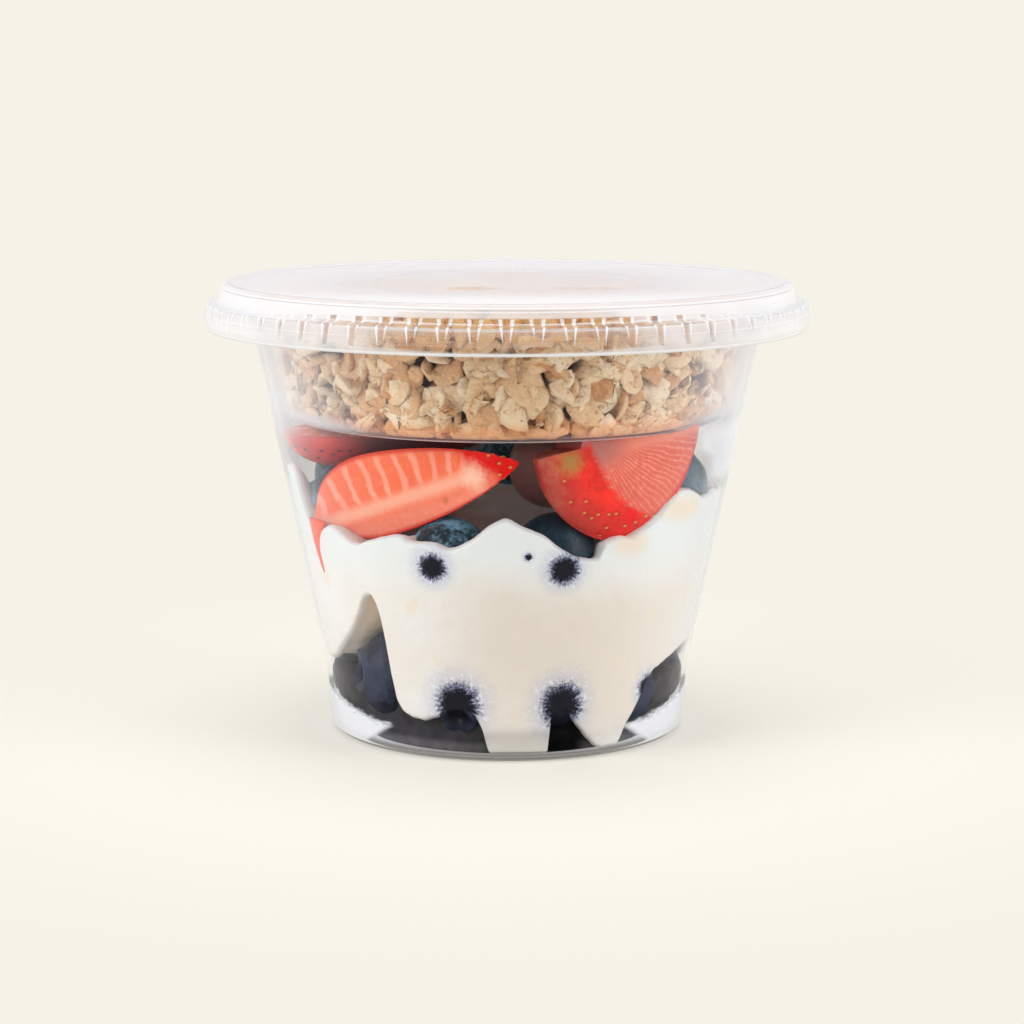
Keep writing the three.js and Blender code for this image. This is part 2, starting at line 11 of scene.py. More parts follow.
import bpy
import numpy as np
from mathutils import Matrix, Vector


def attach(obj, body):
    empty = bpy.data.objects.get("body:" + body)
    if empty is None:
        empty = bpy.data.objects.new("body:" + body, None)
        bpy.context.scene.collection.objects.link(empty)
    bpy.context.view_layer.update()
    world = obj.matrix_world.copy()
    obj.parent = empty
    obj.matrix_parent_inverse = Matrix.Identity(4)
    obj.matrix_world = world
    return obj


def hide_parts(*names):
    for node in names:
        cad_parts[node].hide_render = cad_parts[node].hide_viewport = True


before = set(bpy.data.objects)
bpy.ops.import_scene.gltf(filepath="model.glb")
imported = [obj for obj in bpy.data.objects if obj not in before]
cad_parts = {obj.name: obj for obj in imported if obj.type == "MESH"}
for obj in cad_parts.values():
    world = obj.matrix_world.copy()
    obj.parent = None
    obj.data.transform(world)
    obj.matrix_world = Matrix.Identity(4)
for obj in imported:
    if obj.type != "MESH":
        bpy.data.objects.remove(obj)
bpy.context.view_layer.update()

# %% [markdown]
# ## Working in millimetres round an axis
#
# Every piece here sits round one upright axis, so points are easiest to give as a bearing, a
# distance from the axis and a height. Bearing 0 is the front and bearings grow towards +X. All
# lengths are in millimetres until the last moment, when a mesh is stored in metres.

# %% Points, easing and smooth noise
MM = 0.001
LATTICE = np.random.default_rng(5).random((32, 32, 32))


def stacked(x, y, z):
    return np.stack(np.broadcast_arrays(x, y, z), axis=-1).astype(float)


def at(bearing, distance, z):
    """Points round the axis: x = d sin b, y = -d cos b, with b in degrees."""
    angle = np.radians(bearing)
    return stacked(distance * np.sin(angle), -distance * np.cos(angle), z)


def around(sides, start=0.0):
    """Bearings of evenly spaced columns, all the way round."""
    return np.arange(sides) * 360 / sides + start


def from_axis(points):
    return np.hypot(points[..., 0], points[..., 1])


def draw_in(points, limit):
    """Moves points that are further than limit from the axis in to it."""
    points[:, :2] *= np.minimum(1, limit / np.maximum(from_axis(points), 1e-6))[:, None]
    return points


def toward(bearing, rise):
    """The direction at a bearing and an angle of rise, both in degrees."""
    return at(bearing, np.cos(np.radians(rise)), np.sin(np.radians(rise)))


def ease(low, high, x):
    """0 below low, 1 above high, and 3t² - 2t³ between them."""
    t = np.clip((x - low) / (high - low), 0, 1)
    return t * t * (3 - 2 * t)


def mix(a, b, t):
    return a + (b - a) * t


def through(points, x):
    """Values at x through [x, value] points: a cubic from each to the next, with matching slopes."""
    xs, values = np.array(points, float).T
    before, after = np.maximum(np.arange(len(xs)) - 1, 0), np.minimum(np.arange(len(xs)) + 1, len(xs) - 1)
    slopes = (values[after] - values[before]) / (xs[after] - xs[before])
    i = np.clip(np.searchsorted(xs, x, side="right") - 1, 0, len(xs) - 2)
    width, rise = xs[i + 1] - xs[i], values[i + 1] - values[i]
    t = (x - xs[i]) / width
    bend = (1 - t) * (slopes[i] * width - rise) - t * (slopes[i + 1] * width - rise)
    return values[i] + rise * t + t * (1 - t) * bend


def noise(points, size):
    """Smooth noise from -1 to 1: random values on a lattice `size` mm apart, eased between."""
    scaled = np.asarray(points, float) / size
    cell = np.floor(scaled).astype(int)
    part = scaled - cell
    part = part * part * (3 - 2 * part)
    total = 0.0
    for corner in itertools.product((0, 1), repeat=3):
        weight = np.prod(np.where(corner, part, 1 - part), axis=-1)
        i, j, k = np.moveaxis((cell + corner) % 32, -1, 0)
        total = total + weight * LATTICE[i, j, k]
    return 2 * total - 1


def turned(points, x_axis, y_axis, z_axis):
    """Points given along three unit axes: p = x X + y Y + z Z."""
    return points @ np.stack([x_axis, y_axis, z_axis])


def unit(vector):
    return np.asarray(vector, float) / np.linalg.norm(vector, axis=-1, keepdims=True)


print("noise at the origin and 1 mm away:", noise([[0, 0, 0], [1, 0, 0]], 4))

# %% [markdown]
# ## From arrays to a mesh
#
# A closed skin is a stack of rings with the same number of points. Quads join neighbouring rings
# and a fan closes each end, so there is no seam and no open pole. The signed volume of the skin
# tells whether its faces look out, and they are all flipped if they don't.

# %% Skins and pieces
def skin(rows):
    """Points, quads and triangles of a closed skin over rings; each end is closed by a fan."""
    count, sides = rows.shape[:2]
    points = np.concatenate([rows.reshape(-1, 3), [rows[0].mean(0), rows[-1].mean(0)]])
    here = np.arange(count * sides).reshape(count, sides)
    right = np.roll(here, -1, axis=1)
    quads = np.stack([here[:-1], right[:-1], right[1:], here[1:]], axis=-1).reshape(-1, 4)
    low, high = count * sides, count * sides + 1
    first = np.stack([np.full(sides, low), right[0], here[0]], axis=-1)
    last = np.stack([np.full(sides, high), here[-1], right[-1]], axis=-1)
    tris = np.concatenate([first, last])
    halves = np.concatenate([quads[:, [0, 1, 2]], quads[:, [0, 2, 3]], tris])
    a, b, c = (points[halves[:, k]] for k in range(3))
    if np.einsum("ij,ij->", a, np.cross(b, c)) < 0:
        quads, tris = quads[:, ::-1], tris[:, ::-1]
    return points, quads, tris


def joined(skins):
    """Several skins as one: corner numbers are raised by the points that come before."""
    starts = np.cumsum([0] + [len(points) for points, _, _ in skins])
    return (
        np.concatenate([points for points, _, _ in skins]),
        np.concatenate([quads + n for (_, quads, _), n in zip(skins, starts)]),
        np.concatenate([tris + n for (_, _, tris), n in zip(skins, starts)]),
    )


def make_piece(name, shape, material, replaces=(), fields=None, crease=None):
    """A mesh object from a skin, riding on the root. fields are per-point numbers by name."""
    points, quads, tris = shape
    mesh = bpy.data.meshes.new(name)
    corners = np.concatenate([quads.ravel(), tris.ravel()])
    starts = np.concatenate([4 * np.arange(len(quads)), 4 * len(quads) + 3 * np.arange(len(tris))])
    mesh.vertices.add(len(points))
    mesh.vertices.foreach_set("co", (points * MM).ravel())
    mesh.loops.add(len(corners))
    mesh.loops.foreach_set("vertex_index", corners)
    mesh.polygons.add(len(starts))
    mesh.polygons.foreach_set("loop_start", starts)
    mesh.polygons.foreach_set("use_smooth", np.ones(len(starts), bool))
    mesh.update(calc_edges=True)
    mesh.validate()
    for field, values in (fields or {}).items():
        layer = mesh.attributes.new(field, "FLOAT", "POINT")
        layer.data.foreach_set("value", np.asarray(values, np.float32))
    if crease:
        mesh.set_sharp_from_angle(angle=np.radians(crease))
    mesh.materials.append(material)
    piece = bpy.data.objects.new(name, mesh)
    bpy.context.scene.collection.objects.link(piece)
    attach(piece, "root")
    if replaces:
        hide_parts(*replaces)
    print(f"{name}: {len(points)} points, {2 * len(quads) + len(tris)} triangles")


# %% [markdown]
# ## Materials as expressions
#
# A material is a small network of nodes. Wiring one up reads best as arithmetic, so a wire is
# wrapped in a class whose +, -, * and / add Math nodes. Every other node comes from one method
# that takes the node's type, its settings and what goes into its sockets.

# %% Wires and paints
class Wire:
    """A node's output. Arithmetic on wires adds Math nodes."""

    def __init__(self, paint, socket):
        self.paint = paint
        self.socket = socket

    def maths(self, operation, *others):
        return self.paint.maths(operation, self, *others)

    def __add__(self, other):
        return self.maths("ADD", other)

    def __sub__(self, other):
        return self.maths("SUBTRACT", other)

    def __rsub__(self, other):
        return self.paint.maths("SUBTRACT", other, self)

    def __mul__(self, other):
        return self.maths("MULTIPLY", other)

    def __truediv__(self, other):
        return self.maths("DIVIDE", other)

    def __pow__(self, other):
        return self.maths("POWER", other)

    def __neg__(self):
        return 0 - self

    def __abs__(self):
        return self.maths("ABSOLUTE")

    __radd__ = __add__
    __rmul__ = __mul__

    def step(self, low, high, kind="SMOOTHSTEP"):
        """0 below low and 1 above high, eased between them."""
        sockets = {"Value": self, "From Min": low, "From Max": high, "To Min": 0.0, "To Max": 1.0}
        return self.paint.node("MapRange", {"interpolation_type": kind, "clamp": True}, sockets)

    def fall(self, low, high):
        """1 below low and 0 above high, eased between them."""
        return 1 - self.step(low, high)


def rgba(colour):
    return (*colour, 1.0) if isinstance(colour, tuple) else colour


class Paint:
    """One material and its nodes."""

    def __init__(self, name):
        self.material = bpy.data.materials.new(name)
        self.material.use_nodes = True
        self.nodes = self.material.node_tree.nodes
        self.links = self.material.node_tree.links
        self.nodes.clear()

    def node(self, kind, settings=None, sockets=None, out=0):
        """A node of a type, its settings set first, then values or wires for its sockets."""
        node = self.nodes.new("ShaderNode" + kind)
        for key, value in (settings or {}).items():
            if key == "stops":
                for _ in range(len(value) - 2):
                    node.color_ramp.elements.new(0.5)
                for element, (position, colour) in zip(node.color_ramp.elements, value):
                    element.position = position
                    element.color = rgba(colour)
            else:
                setattr(node, key, value)
        for key, value in (sockets or {}).items():
            if isinstance(value, Wire):
                self.links.new(value.socket, node.inputs[key])
            else:
                node.inputs[key].default_value = value
        return Wire(self, node.outputs[out])

    def maths(self, operation, *values):
        return self.node("Math", {"operation": operation}, dict(enumerate(values)))

    def place(self, scale=1.0):
        """Object coordinates in millimetres, stretched by scale along each axis."""
        position = self.node("TexCoord", out="Object")
        scale = tuple(1000 * s for s in np.broadcast_to(scale, 3))
        return self.node("Mapping", None, {"Vector": position, "Scale": scale})

    def xyz(self):
        """Millimetres along each of the three axes."""
        place = self.place()
        return [self.node("SeparateXYZ", None, {0: place}, out=axis) for axis in range(3)]

    def vector(self, x, y, z=0.0):
        return self.node("CombineXYZ", None, {0: x, 1: y, 2: z})

    def length(self, x, y, z=0.0):
        """Distance of the point (x, y, z) from the origin."""
        sockets = {0: self.vector(x, y, z)}
        return self.node("VectorMath", {"operation": "LENGTH"}, sockets, out="Value")

    def grain(self, scale, detail=2.0, vector=None, stretch=1.0):
        """Noise from 0 to 1 whose cells are about 1 / scale millimetres across."""
        sockets = {"Vector": vector or self.place(stretch), "Scale": scale, "Detail": detail}
        return self.node("TexNoise", {"noise_dimensions": "3D"}, sockets, out="Fac")

    def blend(self, factor, a, b):
        """Colour a where factor is 0, and b where it is 1."""
        settings = {"data_type": "RGBA", "clamp_factor": True}
        return self.node("Mix", settings, {0: factor, 6: rgba(a), 7: rgba(b)}, out=2)

    def layers(self, colour, *above):
        """A colour with others laid over it in turn, each given as (its share, its colour)."""
        for share, over in above:
            colour = self.blend(share, colour, over)
        return colour

    def field(self, name):
        """A number stored on the mesh's points."""
        return self.node("Attribute", {"attribute_name": name}, out="Fac")

    def facing(self):
        """0 where the surface faces the eye, 1 where it is seen edge on."""
        return self.node("LayerWeight", None, {"Blend": 0.5}, out="Facing")

    def body(self, colour, roughness, specular, height=None, depth=0.0):
        """A Principled body, with a bump of this height and depth in millimetres if it has one."""
        sockets = {"Base Color": rgba(colour), "Roughness": roughness, "Specular IOR Level": specular}
        if height:
            bump = {"Height": height, "Distance": depth * MM, "Strength": 1.0}
            sockets["Normal"] = self.node("Bump", None, bump)
        return self.node("BsdfPrincipled", None, sockets)

    def finish(self, shader):
        output = self.nodes.new("ShaderNodeOutputMaterial")
        self.links.new(shader.socket, output.inputs["Surface"])
        return self.material


# %% [markdown]
# ## Clear plastic
#
# A thin clear wall hardly bends what is behind it. Seen head on it almost vanishes, and seen edge
# on it turns milky and bright. So the plastic is a Transparent shader with milk mixed in, more of
# it the more the wall turns away, under a mirror whose share grows as facing⁵.

# %% Clear plastic
MILK, CLEAR, MOST_MILK, MIRROR_SHARE = (0.81, 0.825, 0.875), (0.992, 0.992, 0.996), 0.9, 0.3


def clear_plastic(name, milk_of, colour_of=None, roughness=0.06):
    """milk_of gives the milky share from a paint and its facing, colour_of the milk's colour."""
    paint = Paint(name)
    facing = paint.facing()
    milk = milk_of(paint, facing)
    body = paint.body(colour_of(paint) if colour_of else MILK, 0.4, 0.2)
    clear = paint.node("BsdfTransparent", None, {"Color": rgba(CLEAR)})
    cloudy = paint.node("MixShader", None, {0: milk, 1: clear, 2: body})
    mirror = paint.node("BsdfAnisotropic", None, {"Color": (1, 1, 1, 1), "Roughness": roughness})
    gloss = MIRROR_SHARE * facing**5
    return paint.finish(paint.node("MixShader", None, {0: gloss, 1: cloudy, 2: mirror}))


# %% The cup's milk: the foot ends between two heights, and the dark smudge of painted shade is an oval in x and z
FOOT_ENDS = (0.7, 1.1)
MARK_X, MARK_Z, MARK_WIDE, MARK_HIGH = -7, 43.2, 3.8, 2.1


def painted_shade_smudge(paint):
    """A small dark smudge inside the cup at the back, just over the yogurt: painted shade for the gap
    between the strawberries.
    """
    x, y, z = paint.xyz()
    away = paint.length((x - MARK_X) / MARK_WIDE, (z - MARK_Z) / MARK_HIGH)
    return away.fall(0.75, 1.2) * y.step(0, 8)


def cup_milk(paint, facing):
    """Milky edge on and at the back, with painted light in a bright patch under the tray and in bright
    crescents over a smoky foot.
    """
    x, y, z = paint.xyz()
    over_foot = z.step(*FOOT_ENDS)
    ragged = z + paint.grain(0.5, 4, stretch=(1, 1, 3)) * 2.4 - 1.2
    low = (ragged - (facing * 5.5 + 3.0)).fall(-0.5, 0.5)
    turned_away = (facing - (0.5 - z * 0.046)).step(0.0, 0.05)
    crescents = low * turned_away * over_foot * 0.75
    foot = (1 - over_foot) * 0.5
    rear = y.step(0, 8) * z.step(9, 16) * 0.7
    frost = z.step(13, 19) * 0.1 + z.step(50, 58) * 0.4 + 0.02 + rear
    edge_light = facing**4 * z.step(13, 20) * 0.55
    # A bright patch of painted light at the right, under the tray.
    painted_bright_patch = (x - 34.2 + z.step(49.5, 52) * 2.0).step(-1.5, 1.0) * (-y).step(0, 8)
    painted_bright_patch = painted_bright_patch * z.step(44, 47) * z.fall(53, 56.5) * 0.4
    milk = (frost * facing**2 + edge_light + painted_bright_patch) * (1 - z.step(69, 70.5) * 0.75)
    milk = milk + painted_shade_smudge(paint) * 0.85
    return milk.maths("MINIMUM", MOST_MILK) + crescents + foot


def cup_colour(paint):
    """White milk, but dark at the foot, which shows the juice on the floor, and at the smudge of painted
    shade.
    """
    foot = paint.xyz()[2].fall(*FOOT_ENDS)
    return paint.layers(MILK, (foot, (0.05, 0.048, 0.05)), (painted_shade_smudge(paint), (0.1, 0.04, 0.045)))


cup_plastic = clear_plastic("clear_cup", cup_milk, cup_colour)
print("plastic:", cup_plastic.name)

# %% [markdown]
# ## The cup
#
# The cup is turned, like a vase on a wheel: one outline swept round the axis. Sharp corners in an
# outline look cut from glass, so each corner is rounded by a small arc first, and long straight
# stretches get extra points to keep the shading even.

# %% Turned outlines
def rounded(corners, steps=4):
    """An outline through (radius, z, fillet) corners, each cut by a curve (1-t)²A + 2t(1-t)B + t²C."""
    path = []
    t = np.linspace(0, 1, steps + 1)[:, None]
    for i, (r, z, fillet) in enumerate(corners):
        here = np.array([r, z], float)
        if fillet == 0 or i in (0, len(corners) - 1):
            path.append(here[None])
            continue
        back, ahead = (np.array(corners[i + k][:2]) - here for k in (-1, 1))
        start, end = (here + d * min(fillet / np.linalg.norm(d), 0.45) for d in (back, ahead))
        path.append((1 - t) ** 2 * start + 2 * t * (1 - t) * here + t**2 * end)
    return np.concatenate(path)


def filled(outline, longest):
    """The outline with points added so that no stretch is longer than longest."""
    out = [outline[:1]]
    for a, b in zip(outline[:-1], outline[1:]):
        count = max(1, int(np.ceil(np.linalg.norm(b - a) / longest)))
        out.append(a + (b - a) * (np.arange(1, count + 1) / count)[:, None])
    return np.concatenate(out)


def revolve(outline, sides):
    """Rings of the outline round the axis: row i is at (r_i sin b, -r_i cos b, z_i)."""
    return at(around(sides)[None, :], outline[:, :1], outline[:, 1:])


# %% The cup's measures, from its foot to its rim
WALL = 0.8
SHOULDER_Z, SHOULDER_R, TAPER, HEEL_R = 11.4, 31.5, 0.208, 30.4
FLOOR_R, HEEL_SLOPE, RIM_TOP, RIM_R = 28.6, 1.4, 72.6, 49.2
PUNT_RISE, PUNT_R, PUNT_EDGE = 0.9, 25.4, 27.0


def cup_outer(z):
    """The cup's radius outside: straight from heel to shoulder, then r = 31.5 + 0.208 (z - 11.4)."""
    side = SHOULDER_R + (z - SHOULDER_Z) * TAPER
    return np.where(z < SHOULDER_Z, mix(HEEL_R, SHOULDER_R, z / SHOULDER_Z), side)


def cup_inner(z):
    """The cup's inside radius, which closes in where the side meets the floor."""
    heel = FLOOR_R + HEEL_SLOPE * np.maximum(z - WALL, 0)
    return np.minimum(cup_outer(z) - WALL, heel)


def cup_floor(radius):
    """Height of the cup's floor, raised in the middle."""
    return WALL + PUNT_RISE * (1 - ease(PUNT_R, PUNT_EDGE, radius))


NECK = RIM_TOP - 1.7
cup_outline = rounded([
    (0.01, PUNT_RISE, 0), (26.2, PUNT_RISE, 0.6), (27.4, 0, 0.4), (29.2, 0, 0.6),
    (cup_outer(0.9), 0.9, 0.5), (cup_outer(SHOULDER_Z), SHOULDER_Z, 0.8),
    (cup_outer(NECK), NECK, 0.5), (cup_outer(NECK) + 1, RIM_TOP - 0.9, 0.3),
    (48.5, 70.9, 0.4), (RIM_R, 71.4, 0.4), (RIM_R, RIM_TOP - 0.1, 0.5), (48.2, RIM_TOP, 0.4),
    (cup_inner(NECK) + 1.2, RIM_TOP, 0.4), (cup_inner(NECK), NECK, 0.5),
    (cup_inner(SHOULDER_Z), SHOULDER_Z, 0.6), (cup_inner(1.6), 1.7, 0.7),
    (FLOOR_R, WALL, 0.3), (27, WALL, 0.5), (PUNT_R, WALL + PUNT_RISE, 0.5),
    (0.01, WALL + PUNT_RISE, 0),
])
make_piece("clear_cup", skin(revolve(filled(cup_outline, 3.0), 180)), cup_plastic, ["cup"])

# %% [markdown]
# ## The tray
#
# The tray hangs by its flange on the cup's rim, between the rim and the lid. Its side follows the
# cup's side a little way in, and a wide soft corner leads to its flat bottom.

# %% Tray
TRAY_WALL, TRAY_CLEAR, TRAY_BOTTOM, TRAY_CORNER = 0.5, 1.2, 54.2, 4.0
FLANGE_R, FLANGE_Z, FLANGE_THICK = 49.3, RIM_TOP + 0.3, 0.5


def tray_outer(z):
    """The tray's radius outside, which follows the cup's inside; tray_inner is a wall less."""
    return cup_inner(z) - TRAY_CLEAR


def tray_inner(z):
    return tray_outer(z) - TRAY_WALL


# The middle of the corner's arc.
CORNER_Z = TRAY_BOTTOM + TRAY_CORNER
CORNER_R = tray_outer(CORNER_Z) - TRAY_CORNER


def tray_arc(radius, start, end, steps=9):
    """Points on the corner's arc, between two angles in degrees."""
    angle = np.radians(np.linspace(start, end, steps))
    return np.stack([CORNER_R + radius * np.cos(angle), CORNER_Z + radius * np.sin(angle)], axis=1)


def tray_milk(paint, facing):
    """Milky edge on, with a painted highlight line under it and bright corners at the left and the right.
    """
    x, y, z = paint.xyz()
    corner = z.fall(TRAY_BOTTOM + 1.2, CORNER_Z)
    sides = (-x).step(20, 34) * 0.55 + x.step(27, 37) * 0.5
    highlight_line = z.fall(TRAY_BOTTOM + 0.2, TRAY_BOTTOM + 0.55) * paint.length(x, y).step(33, 35) * 0.45
    return 0.3 * facing**2 + 0.004 + corner * sides + highlight_line


tray_outline = np.concatenate([
    [[0.01, TRAY_BOTTOM]],
    tray_arc(TRAY_CORNER, -90, -10),
    rounded([
        (tray_outer(60), 60, 0), (tray_outer(NECK), NECK, 0.6), (tray_outer(NECK) + 0.9, FLANGE_Z, 0.4),
        (FLANGE_R, FLANGE_Z, 0.15), (FLANGE_R, FLANGE_Z + FLANGE_THICK, 0.15),
        (tray_inner(NECK) + 0.7, FLANGE_Z + FLANGE_THICK, 0.4), (tray_inner(NECK), NECK, 0.6),
        (tray_inner(60), 60, 0),
    ]),
    tray_arc(TRAY_CORNER - TRAY_WALL, -10, -90),
    [[0.01, TRAY_BOTTOM + TRAY_WALL]],
])
tray_shape = skin(revolve(filled(tray_outline, 3.0), 180))
tray_plastic = clear_plastic("clear_tray", tray_milk)
make_piece("clear_tray", tray_shape, tray_plastic, ["tray"])

# %% [markdown]
# ## The lid
#
# A formed lid is stiffened by relief: a raised outer ring, a lowered middle, fine spokes pressed
# into the panel, and wedge-shaped flutes round the skirt. All of that is one turned outline whose
# points are then moved by small functions of bearing and radius.

# %% Lid
LID_WALL, LID_TOP, LID_PANEL, LID_MIDDLE = 0.6, 77.7, 77.2, 76.9
MIDDLE_R, RING_R, RING_FOOT_R, LEDGE_R, LEDGE_Z = 22.7, 48.9, 49.4, 51.1, 73.7
LEDGE_TOP, SKIRT_R, WIDEST_Z, LID_BOTTOM = 74.3, 51.84, 71.0, 69.8
FLUTES, COLUMNS_A_FLUTE, SPOKES, SPOKE_HEIGHT = 64, 12, 128, 0.06
FLUTE_TIP, FLUTE_TOP, FLUTE_WIDTH, FLUTE_PUSH = 71.0, 75.4, 0.2, 0.35
lid_outer = rounded([
    (0.01, LID_MIDDLE, 0), (22.3, LID_MIDDLE, 0.5), (23.1, LID_PANEL, 0.5), (44.8, LID_PANEL, 0.5),
    (45.6, LID_TOP, 0.5), (48.2, LID_TOP, 0.5), (RING_R, LID_TOP - 0.7, 0.5),
    (RING_FOOT_R, LEDGE_TOP + 0.2, 0.5), (LEDGE_R, LEDGE_TOP, 0.5), (SKIRT_R, WIDEST_Z, 1.0),
    (SKIRT_R - 0.5, LID_BOTTOM, 0.2),
])
lid_inner = rounded([
    (SKIRT_R - 0.9, LID_BOTTOM, 0.15), (SKIRT_R - 0.6, WIDEST_Z, 0.5), (LEDGE_R - 0.6, LEDGE_Z, 0.3),
    (48.8, LEDGE_Z, 0.3), (48.3, LID_TOP - LID_WALL - 0.2, 0.4), (45.6, LID_PANEL - LID_WALL, 0.5),
    (23, LID_PANEL - LID_WALL, 0.5), (22.4, LID_MIDDLE - LID_WALL, 0.5), (0.01, LID_MIDDLE - LID_WALL, 0),
])
# Close rows carry the relief, and the flat middle needs only one row in six.
outside = filled(lid_outer, 0.45)
outside = outside[(outside[:, 0] > 22) | (np.arange(len(outside)) % 6 == 0)]
lid_rows = revolve(np.concatenate([outside, filled(lid_inner, 2.5)]), FLUTES * COLUMNS_A_FLUTE)
flat = from_axis(lid_rows)
height = lid_rows[..., 2]
is_outside = (np.arange(len(lid_rows)) < len(outside))[:, None] + 0.0 * flat
turns = np.arange(FLUTES * COLUMNS_A_FLUTE) / COLUMNS_A_FLUTE
from_flute = np.abs((turns + 0.5) % 1 - 0.5)
reach = np.clip((height - FLUTE_TIP) / (LEDGE_TOP - FLUTE_TIP), 0, 1)
flute = np.clip(1 - from_flute / np.maximum(FLUTE_WIDTH * reach, 0.001), 0, 1)
push = FLUTE_PUSH * flute * reach * is_outside * (flat > LEDGE_R - 0.4)
lid_rows[..., :2] *= (1 + push / np.maximum(flat, 1))[..., None]
spoke = np.cos(turns * 2 * np.pi * SPOKES / FLUTES) * ease(24, 25, flat) * (1 - ease(29, 33, flat))
lid_rows[..., 2] += SPOKE_HEIGHT * spoke * is_outside

# %% The lid's milk: level lines of painted highlight as (height, share), and clearer glimpses as (x, width, share)
HIGHLIGHT_LINES = [(LEDGE_TOP - 0.4, 0.12), (72.6, 0.15), (76.5, 0.35)]
GLIMPSES, GLIMPSE_Y, GLIMPSE_DEEP = [(-6.3, 5.0, 0.5), (15.0, 7.0, 0.25)], -9, 4
GROOVE_R, GROOVE_Z = 47.7, 76.85


def tooth(across, down, length):
    """A white tooth of painted highlight hanging from the ledge: its half width shrinks from 0.07 periods
    to nothing.
    """
    part = down / length
    return (abs(across) - (1 - part) * 0.07).fall(-0.012, 0.014) * part.fall(0.97, 1.0)


def front_highlight_band(y, radius):
    """1 at the front of the lid's flat top, as far out as the groove of its ring, where a painted highlight
    lies.
    """
    return (-y).step(12, 46) * radius.fall(46.6, 47.3)


def lid_milk(paint, facing):
    """Milky on top and at the sides, clear in front but for painted highlights: the teeth, the lines and
    the rim.
    """
    x, y, z = paint.xyz()
    forward, over_ledge = -y, z - LEDGE_TOP
    radius, outer = paint.length(x, y), paint.field("outer")
    turns = x.maths("ARCTAN2", forward) * (FLUTES / (2 * np.pi)) + 0.5
    across = (turns.maths("FRACT") - 0.5) * x.maths("SIGN")
    down = 1 - z.step(FLUTE_TIP, FLUTE_TOP, "LINEAR")
    width = (1 - down * 0.6) * FLUTE_WIDTH
    skirt = radius.step(RING_R - 0.3, RING_R) * outer
    over_flutes = over_ledge - forward.step(24, 44) * (FLUTE_TOP - LEDGE_TOP)
    fluted = skirt * over_flutes.fall(0, 0.15) * (1 - down).step(0.0, 0.02)
    uneven = paint.grain(0.11, 1)
    # The teeth are white strokes of painted highlight on the flutes.
    teeth = tooth(across - width, down, uneven * 0.7 + 0.5)
    teeth = teeth + tooth(across + width, down, uneven * 0.8 + 0.3) * 0.8
    window = (abs(across) - width).fall(-0.03, 0.03) * fluted * facing.fall(0.14, 0.4)
    # The level lines and the bottom rim are bands of painted highlight.
    highlight_lines = sum(abs(z - height).fall(0.05, 0.13) * share for height, share in HIGHLIGHT_LINES) * skirt
    rim = z.fall(LID_BOTTOM + 0.35, LID_BOTTOM + 0.6) * 0.75
    frayed = paint.grain(0.5, 3) * 1.4 - 0.7
    deep = (y - GLIMPSE_Y) / GLIMPSE_DEEP
    glimpses = sum((paint.length((x - middle) / wide, deep) + frayed).fall(0.3, 1.3) * share
                   for middle, wide, share in GLIMPSES)
    between = facing.step(0.06, 0.17) * 0.5 + facing.step(0.55, 0.8) * 0.28 + 0.02
    ledge = fluted * over_ledge.step(-0.3, -0.1) * over_ledge.fall(0.2, 0.5)
    between = between * (1 - ledge * forward.step(36, 46) * 0.9)
    between = between + skirt * over_ledge.step(0.1, 0.4) * facing.step(0.04, 0.14) * 0.3
    between = between + skirt * over_flutes.step(0, 0.3) * 0.62 + front_highlight_band(y, radius) * 0.15
    milk = between * (1 - window * 0.9) * (1 - glimpses)
    milk = milk + rim + fluted * teeth * (0.8 - facing.step(0.3, 0.6) * 0.5) + highlight_lines
    middle = radius.fall(MIDDLE_R, MIDDLE_R + 2) * 0.5
    return milk.maths("MINIMUM", MOST_MILK) * (outer * (middle + 0.35) + 0.65 - middle)


def lid_colour(paint):
    """Cool white, a little greyer on the skirt, whiter at the front of the top as a painted highlight, with
    painted shade in grey grooves inside the ring and under it.
    """
    x, y, z = paint.xyz()
    radius = paint.length(x, y)
    ring_groove_shade = abs(radius - GROOVE_R).fall(0.15, 0.35)
    wall_groove_shade = abs(z - GROOVE_Z).fall(0.05, 0.15) * radius.step(RING_R - 0.3, RING_R)
    return paint.layers(
        (0.83, 0.835, 0.85),
        (z.step(LEDGE_TOP + 0.3, LID_PANEL - 0.6), (0.88, 0.87, 0.885)),
        (paint.grain(0.12, 3, stretch=(0.5, 2, 1)) * 0.3, (0.6, 0.56, 0.57)),
        (radius.fall(MIDDLE_R, 38) * 0.3, (0.62, 0.59, 0.6)),
        (front_highlight_band(y, radius) * 0.8, (0.97, 0.97, 0.985)),
        ((ring_groove_shade + wall_groove_shade) * (-y).step(0, 20) * 0.7, (0.5, 0.48, 0.48)),
    )


lid_plastic = clear_plastic("clear_lid", lid_milk, lid_colour, roughness=0.12)
make_piece("clear_lid", skin(lid_rows), lid_plastic, ["lid"],
           {"outer": np.append(is_outside.ravel(), [1, 0])})

# %% [markdown]
# ## Blueberries
#
# A blueberry is a slightly flattened ball with a crown at one end: a dish with a raised, five-
# lobed lip. One radius that depends on the angle from the crown gives all three. The skin is
# almost black, under a pale waxy bloom that is rubbed off in patches.

